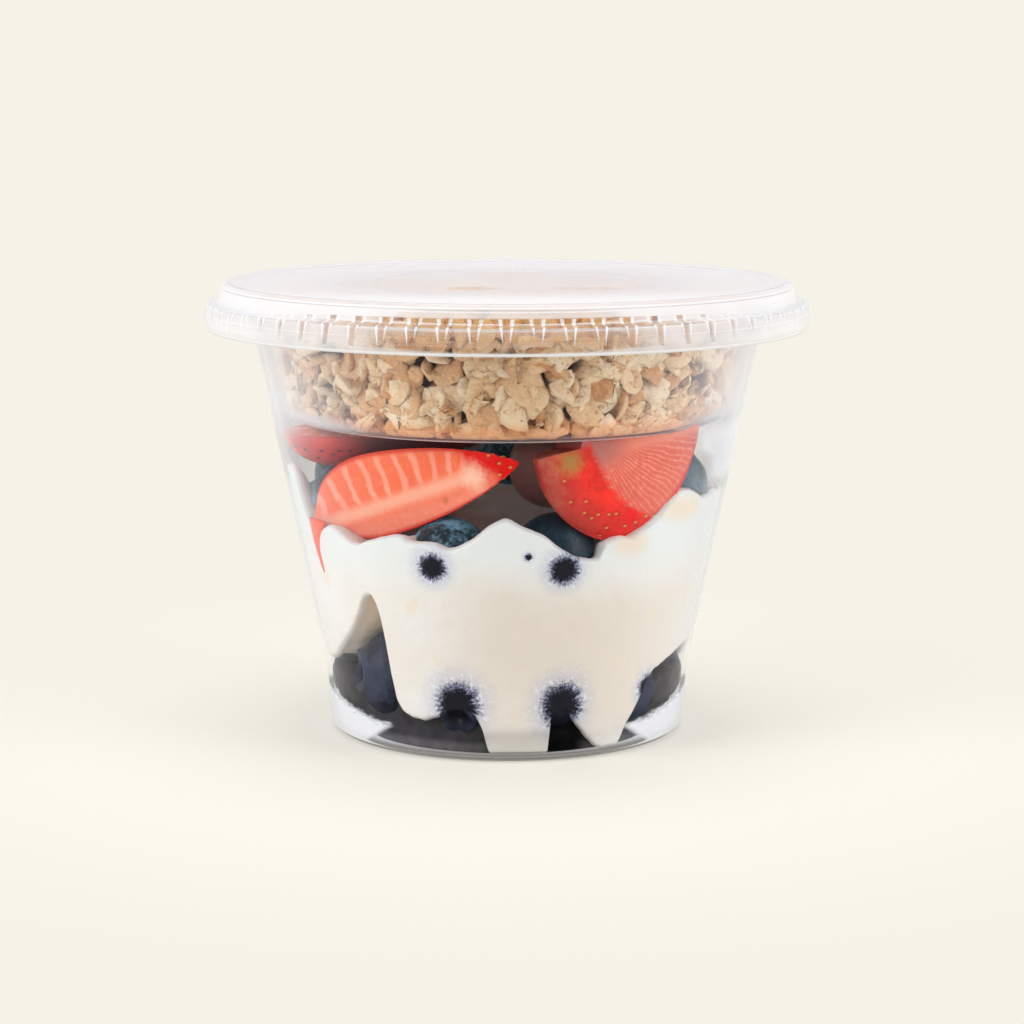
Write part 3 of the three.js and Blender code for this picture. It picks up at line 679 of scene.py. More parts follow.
# %% Blueberry shape
BED_BERRIES = [
    [-16, 24.5, 10.1, 6.3], [17.2, 24.5, 10.3, 6.3], [50, 24.1, 9.4, 6.8], [86, 23.9, 9.3, 6.8],
    [123.5, 23.5, 9.5, 7.1], [161, 23.6, 9.4, 7.0], [-161, 23.5, 9.6, 7.2], [-123.5, 23.6, 9.4, 7.0],
    [-87, 24, 9.2, 6.7], [-50, 24, 12.2, 7.5], [-34, 8.6, 9.3, 6.9], [86, 8.6, 9.1, 6.8],
    [206, 8.6, 9.4, 7.0],
]
TOP_BERRIES = [
    [-19.4, 28.4, 34, 6.8], [15.8, 28.8, 34.7, 6.9], [-73, 28.8, 40.8, 6.5], [66.7, 30.4, 44, 6.2],
    [31, 13.5, 46.6, 6.8], [101, 28.6, 42.6, 6.6], [-104, 28, 43.2, 6.7], [179, 29.6, 41.5, 6.4],
]


def press_in(points, gap=0.05):
    """Points outside the cup's inside are drawn in to it, and lifted off its floor."""
    draw_in(points, cup_inner(points[:, 2]) - gap)
    points[:, 2] = np.maximum(points[:, 2], cup_floor(from_axis(points)) + gap)
    return points


def blueberry(berry, crown, seed, rings=30, sides=40):
    """R(a) = 0.965 - 0.035 cos 2a, with a lip at a = 0.47 and a dish inside it, a from the crown."""
    b, distance, z, radius = berry
    a = np.linspace(0.02, np.pi - 0.02, rings)[:, None]
    turn = (np.arange(sides) * 2 * np.pi / sides)[None, :]
    lobes = 0.5 + 0.5 * np.cos(5 * turn)
    ball = 0.965 - 0.035 * np.cos(2 * a)
    lip = (0.05 + 0.09 * lobes) * np.exp(-(((a - 0.47) / 0.09) ** 2))
    dish = -0.2 * (1 - ease(0.22, 0.46, a))
    reach = radius * (ball + lip + dish)
    body = stacked(reach * np.sin(a) * np.cos(turn), reach * np.sin(a) * np.sin(turn), reach * np.cos(a))
    up = unit(toward(*crown))
    side = unit(np.cross(up, [0.3, 0.5, 0.81]))
    body = turned(body, side, np.cross(up, side), up) + at(b, distance, z)
    points, quads, tris = skin(body)
    points += 0.1 * noise(points + 50 * seed, 3)[:, None] * unit(points - at(b, distance, z))
    rim = np.broadcast_to(np.exp(-(((a - 0.5) / 0.1) ** 2)), body.shape[:2]).ravel()
    well = np.broadcast_to(1 - ease(0.2, 0.45, a), body.shape[:2]).ravel()
    return (press_in(points), quads, tris), np.append(rim, [0, 0]), np.append(well, [1, 0])


def berry_skin(name, dark, pale):
    """Dark skin under a patchy bloom; the crown's lip is paler and its well is dark; a berry deep in the
    gap between the strawberries is painted brown, as painted shade.
    """
    paint = Paint(name)
    fine = paint.grain(1.4, 4)
    cover = (paint.grain(0.2, 4) * 0.7 + fine * 0.3).step(0.4, 0.62) * paint.field("bloom")
    colour = paint.layers(
        dark, (cover, pale), (paint.field("rim") * 0.6, pale),
        (paint.field("well") * 0.9, (0.004, 0.004, 0.006)), (paint.field("plum"), (0.4, 0.22, 0.21)))
    return paint.finish(paint.body(colour, cover * 0.25 + 0.35, 0.2, fine, 0.08))


# The berries at the bottom of the cup get a darker copy of the skin, as painted shade.
bed_skin = berry_skin("blueberry_skin_shaded", (0.002, 0.003, 0.01), (0.045, 0.055, 0.1))
top_skin = berry_skin("blueberry_skin_bloom", (0.008, 0.022, 0.032), (0.15, 0.31, 0.41))

# %% Place the berries
crowns = np.random.default_rng(9)


def make_berries(name, berries, first, material, aimed, dull, plum=()):
    """aimed gives crowns as [bearing, degrees up], dull gives weak blooms, and the last list gives the
    berries painted brown as shade.
    """
    skins, fields = [], {"rim": [], "well": [], "bloom": [], "plum": []}
    for i, berry in enumerate(berries):
        loose = (crowns.uniform(0, 360), crowns.uniform(-30, 70))
        shape, rim, well = blueberry(berry, aimed.get(i, loose), first + i)
        skins.append(shape)
        bloom = dull.get(i, crowns.uniform(0.7, 1))
        for values, value in zip(fields.values(), (rim, well, bloom, i in plum)):
            values.append(value + np.zeros(len(rim)))
    names = [f"blueberry_{first + i + 1:02d}" for i in range(len(berries))]
    fields = {field: np.concatenate(values) for field, values in fields.items()}
    make_piece(name, joined(skins), material, names, fields)


make_berries("blueberries_below", BED_BERRIES, 0, bed_skin,
             {0: (-17, -36), 9: (-82, 8)}, {0: 0.35, 1: 0.0})
# The fifth berry above is painted brown, as painted shade in the gap between the strawberries.
make_berries("blueberries_above", TOP_BERRIES, len(BED_BERRIES), top_skin,
             {0: (150, -10), 1: (190, 10)}, {0: 1.2, 1: 0.08, 3: 0.6, 4: 0.0}, plum=(4,))

# %% [markdown]
# ## Yogurt
#
# Thick yogurt is poured over the berries and drapes: its lower edge hangs in tongues that reach
# the floor, and its upper edge climbs the wall in smears. Both edges are curves of height against
# bearing. One closed skin runs under the yogurt, up the wall, over the top and back to the
# middle. Where a berry presses close to the wall its juice stains the film in front of it.

# %% Yogurt shape
UPPER_EDGE = [
    [-180, 40], [-145, 43], [-112, 41], [-92, 43], [-84, 46.4], [-78, 47.2], [-72.5, 46.6], [-69.5, 41],
    [-66, 36.8], [-60, 37.4], [-55.5, 38.4], [-52, 38], [-48.5, 37], [-45, 36.1], [-40, 36.9],
    [-34.6, 38.1], [-28.5, 38.6], [-26, 37.7], [-20, 37.6],
    [-14.5, 36.9], [-9.5, 38.3], [-4, 41.2], [0, 42], [5, 40.3], [9.5, 39.2], [14.5, 36.8], [20, 35.2],
    [25, 35], [27, 37.6], [35, 38.3], [41, 40.2], [50, 45], [54, 44.8], [63, 42.9], [71, 43.2], [92, 41.5],
    [122, 39], [152, 42], [180, 40],
]
LOWER_EDGE = [
    [-180, 9], [-150, 13], [-122, 10], [-95, 13], [-80, 12.8], [-72, 13.6], [-68, 14.6], [-60, 17.4],
    [-52.7, 20.5], [-48.1, 23.6], [-45, 26.4], [-42, 27.2], [-39.8, 25.4], [-38.4, 21], [-37.9, 14],
    [-36.7, 9], [-32.3, 6.6], [-28, 6.3], [-22.5, 7], [-20, 8], [-11, 8], [-8, 5.6],
    [-5.5, 1.2], [13, 1.2], [14, 7], [18, 8.6], [21.5, 6.6], [27, 3.1], [32, 1.2], [38, 1.2], [41.5, 4.4],
    [45, 7], [48, 9.2], [51, 12.3], [56, 13.7], [66, 15.2], [82, 15.4], [97, 11], [122, 6], [150, 11],
    [166, 4.5], [180, 9],
]
YOGURT_TOP, YOGURT_BOTTOM, LOWEST, INTO_WALL, ROUNDING = 38.5, 12.5, 1.2, 0.15, 0.9
COLUMNS, UNDER_ROWS = 800, 28
PARTS_UP = np.r_[0:0.08:6j, 0.1:0.9:40j, 0.92:1:6j]


def swell(x, y):
    """Soft swells: 1.1 sin(0.21x + 0.6) cos 0.17y + 0.7 sin(0.31y + 0.12x)."""
    broad = 1.1 * np.sin(x * 0.21 + 0.6) * np.cos(y * 0.17)
    return broad + 0.7 * np.sin(y * 0.31 + x * 0.12)


def yogurt_rows():
    """Rows of the closed skin: outwards under the yogurt, up its side, and inwards over its top."""
    b = around(COLUMNS, -180)
    ring = at(b, 34.0, 0.0)
    low = np.maximum(through(LOWER_EDGE, b) + 0.2 * noise(ring, 1.3), LOWEST)
    high = through(UPPER_EDGE, b) + 0.2 * noise(ring + 40, 1.6)
    under, side, over = [], [], []
    opened = ease(13.5, 17, low)
    for part in np.linspace(0.03, 0.96, UNDER_ROWS):
        radius = (cup_inner(low) - 0.4) * part
        z = mix(YOGURT_BOTTOM, low + 0.7, ease(0.7 - 0.4 * opened, 0.93 - 0.3 * opened, part))
        under.append(at(b, radius, np.maximum(z, cup_floor(radius) + 0.1)))
    for t in PARTS_UP:
        z = mix(low, high, t)
        edge = np.minimum(z - low, high - z)
        curl = ROUNDING * (1 - np.sqrt(1 - (1 - np.clip(edge / ROUNDING, 0, 1)) ** 2))
        side.append(at(b, cup_inner(z) + INTO_WALL - curl, z))
    for part in np.linspace(0.955, 0.03, 30):
        radius = (cup_inner(high) - ROUNDING) * part
        flat = at(b, radius, 0.0)
        z = YOGURT_TOP + swell(flat[:, 0], flat[:, 1]) + 0.35 * noise(flat, 5)
        behind_edge = high - 1.0 + 8 * (1 - ease(0.45, 0.8, part))
        over.append(at(b, radius, mix(np.minimum(z, behind_edge), high - 0.2, ease(0.92, 0.97, part))))
    return np.stack(under + side + over)


# %% Yogurt colours
# Where juice shows through the yogurt at the wall, as [bearing, z, radius of the stain].
STAINS = [
    [-20, 33.5, 2.1], [15.5, 33.2, 2.3], [5.7, 35.6, 0.6], [-15.2, 9.6, 3.7], [17.3, 9.6, 3.6],
    [50, 10.5, 2.2], [123.5, 9.5, 3.2], [161, 9.4, 2.8], [-161, 16, 1.8], [-123.5, 12.5, 3.0],
    [101, 38, 2.4], [-104, 38.5, 2.2],
]
# Painted shadows of the fruit, tan on the yogurt in front, as (x, z).
FRUIT_SHADOWS = [(28.8, 41.5), (20.5, 36.8)]


def stain_places(points):
    """Distance, across and up from the nearest stain's middle, in stain radii, at the wall."""
    bearing = np.degrees(np.arctan2(points[:, 0], -points[:, 1]))
    inside = np.maximum(cup_inner(points[:, 2]) - 1.5 - from_axis(points), 0)
    best = np.full((len(points), 2), 9.0)
    for b, z, size in STAINS:
        turn = (bearing - b + 180) % 360 - 180
        place = np.stack([np.radians(turn) * 34, points[:, 2] - z], axis=1) / size
        place *= (1 + inside)[:, None]
        nearer = np.hypot(*place.T) < np.hypot(*best.T)
        best[nearer] = place[nearer]
    return np.hypot(*best.T), *best.T


def yogurt_finish():
    """Cool white with painted light and shade: warmer in front, cooler at the top, greyer at the right, tan
    below and in shadows of the fruit; navy stains have hairy edges and a grey halo.
    """
    paint = Paint("thick_yogurt")
    x, y, z = paint.xyz()
    away = paint.field("stain_distance")
    place = paint.vector(paint.field("stain_across"), paint.field("stain_up"))
    hair = paint.grain(9.0, 2, paint.node("VectorMath", {"operation": "NORMALIZE"}, {0: place}))
    fine, cloud = paint.grain(2.2, 3), paint.grain(0.07, 2)
    reach = away + (hair - 0.5) * 0.75 + (fine - 0.5) * 0.8
    halo = (away + (fine - 0.5) * 0.9).fall(0.8, 2.4)
    speck = paint.grain(1.1, 1).step(0.58, 0.66)
    # Warmer and darker in front, as painted shade.
    front = (x + cloud * 12 - 6).step(-22, 2) * (z + cloud * 14 - 7).fall(26, 36)
    front = front * (-y).step(0, 20) * (1 - x.step(16, 32) * 0.5) * z.step(1, 9)
    shadow_spots = (paint.length(x - at_x, (z - at_z) * 1.3) + (fine - 0.5) * 2 for at_x, at_z in FRUIT_SHADOWS)
    colour = paint.layers(
        (0.8, 0.79, 0.77),
        (cloud.step(0.35, 0.7), (0.78, 0.75, 0.705)),
        (front, (0.725, 0.66, 0.585)),
        # Cooler towards the top, as painted light.
        ((z + cloud * 6 - 3).step(27, 37) * 0.7, (0.72, 0.78, 0.785)),
        # The underside is tan, as painted warm shading.
        (paint.field("under") * 0.8, (0.95, 0.8, 0.61)),
        (paint.grain(0.16, 2).step(0.63, 0.72) * 0.4, (0.8, 0.66, 0.5)),
        # Greyer at the right, as painted shade.
        (x.step(25, 36) * 0.4, (0.6, 0.585, 0.58)),
        # The fruit's painted shadows on the yogurt.
        *((spot.fall(0.8, 4.5) * (-y).step(0, 8) * 0.6, (0.8, 0.64, 0.46)) for spot in shadow_spots),
        (halo * 0.6, (0.42, 0.45, 0.6)),
        (halo * speck * 0.7, (0.8, 0.83, 0.9)),
        (reach.fall(0.85, 1.35) * 0.85, (0.03, 0.04, 0.12)),
        (reach.fall(0.7, 1.0), (0.002, 0.003, 0.008)),
    )
    return paint.finish(paint.body(colour, 0.45, 0.2, paint.grain(0.35, 3), 0.3))


shape = skin(yogurt_rows())
yogurt_fields = dict(zip(("stain_distance", "stain_across", "stain_up"), stain_places(shape[0])))
yogurt_fields["under"] = np.append(np.arange(len(shape[0]) - 2) < UNDER_ROWS * COLUMNS, [1, 0])
make_piece("poured_yogurt", shape, yogurt_finish(), ["yogurt"], yogurt_fields)

# %% [markdown]
# ## Strawberry halves
#
# A strawberry half is a flat cut face with a round seeded back. Its width along the fruit follows
# one curve that swells from the stem and narrows to the tip. Seeds sit in dimples on a spiral.
# The cut face has a pale core and pale streaks that fan out from a point to the skin.

# %% Strawberry shape
# Each half: its stem and its tip as [bearing, distance, z], where its face looks as [bearing, rise],
# half its width, its depth and its lower side in parts of that, and where along it it is widest.
STRAWBERRIES = [
    ([-62, 35.8, 40.6], [3, 38.2, 51.4], [-30, -6], 7.1, 0.72, 1, 0.28),
    ([11.5, 34, 50.4], [56, 38.4, 55.2], [26, 6], 15.4, 0.68, 1, 0.46),
    ([-80, 38, 52.8], [-3, 18, 53.3], [0, 88], 8.4, 0.72, 1, 0.24),
    ([163, 34.5, 46.5], [122, 36, 50.5], [145, -6], 9.4, 0.5, 0.9, 0.28),
    ([-166, 35, 49], [-126, 36.5, 48.5], [-146, -6], 9.8, 0.5, 0.95, 0.34),
]
# The halves with a form or colours of their own, by their place in the list.
STREAKED, FANNED, SHADED = 0, 1, 2
SEEDS, SEED_EDGE = 84, 0.42
# Seeds on the front of the first two halves, as [part of the length, mm across].
FRONT_SEEDS = {
    STREAKED: [[0.87, 2.3], [0.91, 0.6], [0.95, -0.4], [0.9, -1.2], [0.62, -3.2]],
    FANNED: [[0.17, -9.6], [0.21, -10.1], [0.25, -10.2], [0.31, -10.8], [0.36, -10.7], [0.48, -13],
             [0.41, -13.3], [0.59, -12.9], [0.19, -7.8], [0.09, -3.4], [0.1, -7], [0.31, -12.4],
             [0.54, -12.1], [0.25, -13.6]],
}
FRONT_SEED_SCALE, BACK_SEED_SCALES, CORNER_REACH, STEM_REACH = 0.6, {SHADED: 0.65}, 3.4, -0.065
ROWS, BACK_SIDES, FACE_SIDES = 72, 40, 40
GOLDEN, PIT_DEPTH, SEED_SUNK = 0.618034, 0.32, 0.2


def tray_under(radius):
    """Height of the tray's underside, following its rounded corner."""
    across = np.clip(radius - CORNER_R, 0, TRAY_CORNER * 0.98)
    return CORNER_Z - np.sqrt(TRAY_CORNER**2 - across**2)


def strawberry_width(t, widest):
    """sqrt(1 - ((w-t)/w)²) up to the widest place w, then (1 - s^1.75)^0.8 to the tip."""
    rise = np.sqrt(np.clip(1 - ((widest - t) / widest) ** 2, 0, 1))
    s = np.clip((t - widest) / (1 - widest), 0, 1)
    return np.where(t < widest, rise, (1 - s**1.75) ** 0.8)


def ridge(x):
    """Where the second half's skin meets its cut face: t = 0.29 + 0.12d + 0.11d⁴, d = (0.3-x)/11.8."""
    depth = (0.3 - x) / 11.8
    depth = depth.maths("MAXIMUM", 0.001) if isinstance(x, Wire) else np.maximum(depth, 0.001)
    return depth * 0.12 + depth**4 * 0.11 + 0.29


def seed_skins(centres, normals, scales, along, long=0.62, wide=0.38, thick=0.22):
    """Small drops, one for each centre: rings of radius sin a, pointed towards the stem."""
    a = np.linspace(0.35, np.pi - 0.35, 4)[:, None]
    turn = (np.arange(6) * np.pi / 3)[None, :]
    shape = stacked(long * np.cos(a), wide * np.sin(a) * np.cos(turn), thick * np.sin(a) * np.sin(turn))
    skins = []
    for centre, normal, scale in zip(centres, normals, scales):
        x_axis = unit(along - normal * (along @ normal))
        skins.append(skin(turned(shape * scale, x_axis, np.cross(normal, x_axis), normal) + centre))
    return skins


print("half widths:", strawberry_width(np.array([0.1, 0.3, 0.6, 0.9]), 0.28).round(2))


# %% One half
def strawberry(stem, tip, face, radius, depth, low, widest, order):
    """A half's skin with its seeds, and its fields: where each point is on the fruit."""
    start, end = at(*stem), at(*tip)
    length = np.linalg.norm(end - start)
    along = (end - start) / length
    out = toward(*face)
    out = unit(out - along * (out @ along))
    across = np.cross(out, along)
    t = (0.5 - 0.5 * np.cos(np.pi * np.linspace(0.015, 0.985, ROWS)))[:, None]
    width = radius * strawberry_width(t, widest)
    part = mix(STEM_REACH, 1, t) if order == FANNED else t
    turn = np.pi * np.arange(BACK_SIDES)[None, :] / BACK_SIDES
    lean = np.where(np.cos(turn + np.pi) < 0, low, 1)
    u = np.linspace(1, -1, FACE_SIDES + 1)[None, :-1]
    side_face = width * u * np.where(u < 0, low, 1)
    dome = 0.3 * (1 - u**2) * ease(0, 0.2, t) * (1 - ease(0.85, 1, t))
    sideways = np.concatenate([width * np.cos(turn + np.pi) * lean, side_face], axis=1)
    if order == FANNED:
        behind = np.clip(ridge(side_face) - part, 0, 1)
        dome = dome - 6 * behind**1.5
        sideways = np.minimum(sideways, 1.2 + 70 * np.maximum(part - 0.22, 0))
    outward = np.concatenate([-width * depth * np.sin(turn), dome], axis=1)
    forward = part * length + 0 * sideways
    if order == STREAKED:
        forward -= CORNER_REACH * np.exp(-(((sideways + 3.8) / 3) ** 2)) * (1 - ease(0, 0.25, t))
    body = start + forward[..., None] * along + sideways[..., None] * across + outward[..., None] * out
    points, quads, tris = skin(body)
    is_face = np.zeros(body.shape[:2])
    is_face[:, BACK_SIDES:] = 1
    edge = np.concatenate([np.ones((ROWS, BACK_SIDES)), np.abs(u) + 0 * t], axis=1)
    fields = {
        "face": np.append(is_face.ravel(), [0, 0]),
        "edge": np.append(edge.ravel(), [1, 1]),
        "along": np.append((part + 0 * sideways).ravel(), [0, 1]),
        "across": np.append(sideways.ravel(), [0, 0]),
    }
    # a spiral of seeds over the round back, and those on the front
    k = np.arange(SEEDS) + 0.5
    seed_t = 0.1 + 0.84 * (k / SEEDS)
    seed_turn = np.clip(np.pi * ((k * GOLDEN + order * 0.37) % 1), SEED_EDGE, np.pi - SEED_EDGE)
    seed_w = radius * strawberry_width(seed_t, widest)
    c, s = np.cos(seed_turn + np.pi), np.sin(seed_turn)
    centres = (start + seed_t[:, None] * length * along
               + (seed_w * c * np.where(c < 0, low, 1))[:, None] * across
               - (seed_w * depth * s)[:, None] * out)
    normals = unit(c[:, None] * across * depth - s[:, None] * out)
    front = points[:-2].reshape(*body.shape)[:, BACK_SIDES:].reshape(-1, 3)
    for forth, side in FRONT_SEEDS.get(order, []):
        flat = front - (start + forth * length * along + side * across)
        flat = flat - (flat @ out)[:, None] * out
        centres = np.vstack([centres, front[np.argmin(np.linalg.norm(flat, axis=1))]])
        normals = np.vstack([normals, out])
    gap = np.linalg.norm(points[:, None, :] - centres[None], axis=2)
    closest = gap.argmin(axis=1)
    back_scale = BACK_SEED_SCALES.get(order, 1)
    scales = np.where(np.arange(len(centres)) < SEEDS, back_scale, FRONT_SEED_SCALE)
    fields["pit"] = np.exp(-((gap.min(axis=1) / (0.8 * scales[closest])) ** 2))
    points = points - (PIT_DEPTH * fields["pit"] * scales[closest])[:, None] * normals[closest]
    sunk = centres - SEED_SUNK * scales[:, None] * normals
    plain = len(points)
    points, quads, tris = joined([(points, quads, tris), *seed_skins(sunk, normals, scales, along)])
    fields = {name: np.append(values, np.zeros(len(points) - plain)) for name, values in fields.items()}
    fields["seed"] = np.arange(len(points)) >= plain
    points = press_in(points, 0.03)
    points[:, 2] = np.minimum(points[:, 2], tray_under(from_axis(points)) - 0.03)
    return (points, quads, tris), fields


# %% Strawberry colours
def strawberry_finish(name, length, pivot, period, core, streak_side, peel, seed, red_tip=1.2, order=0):
    """Streaks fan out of pivot, a period of angle apart; core is the pale line's height and slope."""
    paint = Paint(name)
    along, across, edge = (paint.field(field) for field in ("along", "across", "edge"))
    x = along * length
    fine, broad = paint.grain(1.3, 4), paint.grain(0.22, 2)
    swerve = (0.8 if order == STREAKED else 2.2) * period
    angle = (x - pivot[0]).maths("ARCTAN2", across - pivot[1]) + (broad - 0.5) * swerve
    wave = (angle * (2 * np.pi / period)).maths("SINE") * 0.5 + 0.5
    roughly = 0.8 if order == FANNED else 0.35
    streak = (wave + (fine - 0.5) * roughly).step(0.5, 1.0) * (broad * 0.8 + 0.5)
    above = across - (x * core[1] + core[0])
    if streak_side == 0:
        above = abs(above)
    streak = streak * above.step(0.2, 2.2) * edge.fall(0.8, 0.97) * 0.62
    pale = (abs(above) + (fine - 0.5) * 1.2).fall(0.2, 2.0) * 0.85
    tip = (along + across * 0.016 + (broad - 0.5) * 0.2).step(red_tip - 0.07, red_tip + 0.04)
    flesh = paint.blend(broad * 0.7 + fine * 0.3, (0.84, 0.128, 0.06), (0.92, 0.215, 0.1))
    if order == STREAKED:
        flesh = paint.blend((-above).step(0.4, 3.0) * (fine + 0.15), flesh, (0.88, 0.29, 0.2))
    if order == FANNED:
        flesh = paint.blend(broad * 0.6 + fine * 0.4, (0.68, 0.085, 0.055), (0.82, 0.19, 0.12))
        streak = streak * (fine * 1.1 + 0.2) * (1 - (-across).step(5, 12) * 0.5) * 0.7
        pale = pale * along.step(0.3, 0.6) * 0.4
    flesh = paint.layers(
        flesh, (streak, (0.95, 0.46, 0.34)), (pale, (0.93, 0.45, 0.31)),
        (fine.step(0.55, 0.75) * 0.25, (0.95, 0.42, 0.26)), (tip, (0.72, 0.006, 0.003)))
    if order == STREAKED:
        blaze = paint.length(x - 32.2, (across + 0.6) * 0.9) + (fine - 0.5) * 2.4
        flesh = paint.blend(blaze.fall(0.3, 3.4) * 0.8, flesh, (0.95, 0.58, 0.42))
    flesh = paint.blend(edge.step(0.86, 0.98) * 0.75, flesh, (0.6, 0.015, 0.01))
    mottled = (broad * 0.6 + fine * 0.4).step(0.35, 0.65)
    back = paint.layers(
        (0.8, 0.35, 0.2), (along.step(0.0, 0.12), peel), (mottled, tuple(0.7 * part for part in peel)))
    is_face = paint.field("face").step(0.4, 0.6)
    if order == FANNED:
        is_face = is_face * (along - ridge(across) + (fine - 0.5) * 0.1).step(-0.03, 0.03)
        hull = paint.length(x - 4.0, across + 0.6) + (fine - 0.5) * 2.6
        left = (along + across * 0.015 + 0.08).fall(0.0, 0.3)
        # The skin at the top left and the flesh beside it get painted shade, where the half goes under the
        # tray.
        upper_shade = along.fall(0.25, 0.5) * across.step(0.6, 2.2)
        back = paint.layers(
            back, (left * 0.75, (0.42, 0.06, 0.05)), (hull.fall(0.2, 3.4) * 0.9, (0.4, 0.24, 0.065)),
            (upper_shade * 0.85, (0.5, 0.19, 0.165)))
        shade = along.fall(0.34, 0.58) * across.step(-4, -0.5)
        flesh = paint.blend(shade * 0.8, flesh, (0.42, 0.17, 0.15))
    # The third half's back turns near black towards its tip, as painted shade under the tray.
    if order == SHADED:
        back = paint.blend(along.step(0.2, 0.5), back, (0.1, 0.009, 0.012))
    colour = paint.blend(is_face, back, flesh)
    if order == FANNED:
        spot = paint.length(x - 12.8, across + 11.7)
        colour = paint.blend(spot.fall(0.8, 1.5), colour, (0.85, 0.01, 0.008))
    # The dimples round the seeds are darkened, as painted shade.
    colour = paint.layers(
        colour, (paint.field("pit") * 0.5, (0.35, 0.006, 0.005)), (paint.field("seed"), seed))
    return paint.finish(paint.body(colour, 0.38, 0.12, fine, 0.12))


RED, BRIGHT_RED, DARK_RED = (0.74, 0.016, 0.01), (0.95, 0.035, 0.022), (0.72, 0.03, 0.024)
YELLOW_SEED, DARK_SEED = (0.6, 0.26, 0.07), (0.05, 0.012, 0.012)
strawberry_paints = [
    strawberry_finish("strawberry_streaked", 41.2, (24, -45), 0.068, (-3.0, 0.083), 1, RED,
                      YELLOW_SEED, 0.83),
    strawberry_finish("strawberry_fanned", 28.1, (8, 3), 0.06, (-0.4, 0.02), 0, BRIGHT_RED,
                      YELLOW_SEED, order=FANNED),
    strawberry_finish("strawberry_shaded", 40.0, (20, -45), 0.07, (0, 0), 0, DARK_RED, DARK_SEED, order=SHADED),
    strawberry_finish("strawberry_back", 26.0, (12, -40), 0.07, (0, 0), 0, RED, YELLOW_SEED, 0.9),
]
for i, fruit in enumerate(STRAWBERRIES):
    body, fields = strawberry(*fruit, order=i)
    make_piece(f"cut_strawberry_{i + 1}", body, strawberry_paints[min(i, 3)], [f"strawberry_{i + 1:02d}"],
               fields, crease=50)

# %% A thin shred of the first half, pressed on the wall, as [bearing, z, half its width in mm]
SHRED = np.array([
    [-61.5, 38.8, 3.0], [-62.5, 37.2, 2.6], [-63.8, 35.2, 1.7], [-64.1, 33.4, 1.1], [-63.4, 31.3, 0.7],
    [-62.6, 29.5, 0.1],
])
rows, turn = [], np.arange(12) * np.pi / 6
for z in np.linspace(SHRED[0, 1], SHRED[-1, 1], 24):
    bearing, half = (through(np.stack([-SHRED[:, 1], SHRED[:, k]], axis=1), -z) for k in (0, 2))
    side = np.degrees(np.maximum(half, 0.08) * np.cos(turn) / cup_inner(z))
    rows.append(at(bearing + side, cup_inner(z) - 0.05 + 0.4 * np.sin(turn), z))
paint = Paint("strawberry_shred")
flesh = paint.blend(paint.grain(0.8, 3), (0.8, 0.05, 0.025), (0.9, 0.16, 0.08))
shred_paint = paint.finish(paint.body(flesh, 0.4, 0.5))
make_piece("strawberry_shred", skin(np.stack(rows)), shred_paint)

# %% [markdown]
# ## Granola
#
# Granola is rolled oats baked in clusters: flat ovals with a crease, curled by the heat, lying
# every way against the tray. Each flake is a small closed lens that is bent, dented and turned
# by its own random numbers. A core painted dark as shade fills the heap behind them.

# %% Granola core
LID_UNDER, CORE_INSET, CORE_UNDER = LID_MIDDLE - LID_WALL, 5.4, 2.2


def heap_top(radius, b):
    """Height of the heap: a low dome with soft lumps."""
    lumps = 0.5 * np.sin(np.radians(b) * 5 + radius * 0.4) + 0.4 * np.sin(np.radians(b) * 9 - radius * 0.7)
    return mix(74.3, 72.6, ease(18, 41, radius)) + lumps * ease(0, 12, radius)


def press_in_tray(points, gap=0.04):
    """Keeps points inside the tray, off its floor and under the lid."""
    points[:, 2] = np.clip(points[:, 2], TRAY_BOTTOM + TRAY_WALL + gap, LID_UNDER - gap)
    z, inner = points[:, 2], TRAY_CORNER - TRAY_WALL
    drop = np.clip(CORNER_Z - z, 0, inner)
    low_limit = CORNER_R + np.sqrt(np.maximum(inner**2 - drop**2, 0))
    return draw_in(points, np.where(z < CORNER_Z, low_limit, tray_inner(z)) - gap)


def core_rows(sides=200):
    """The heap, drawn in from the tray and roughened: r += 1.0 n(p / 3.4) + 0.5 n(p / 1.4)."""
    b = around(sides)
    rows = [at(b, r, 56.6) for r in np.linspace(1, 31, 12)]
    rows += [at(b, tray_inner(z) - CORE_INSET, z) for z in np.linspace(59.5, 70, 12)]
    rows += [at(b, r, heap_top(r, b) - CORE_UNDER) for r in np.linspace(38, 1, 26)]
    rows = np.stack(rows)
    rows += (1.0 * noise(rows, 3.4) + 0.5 * noise(rows + 9, 1.4))[..., None] * unit(rows - [0, 0, 64])
    return rows


points, quads, tris = skin(core_rows())
core = (press_in_tray(points), quads, tris)

# %% Oat flakes
oats = np.random.default_rng(21)
SIDE_FLAKES, TOP_FLAKES, FLOOR_FLAKES, CRUMBS = 820, 430, 190, 260
FLAKE = np.array([6.9, 5.0, 1.7])
RING_PARTS = np.array([0.55, 0.9, 1.0, 0.9, 0.55])
RING_HEIGHTS = np.array([1.0, 0.8, 0.0, -0.8, -1.0])


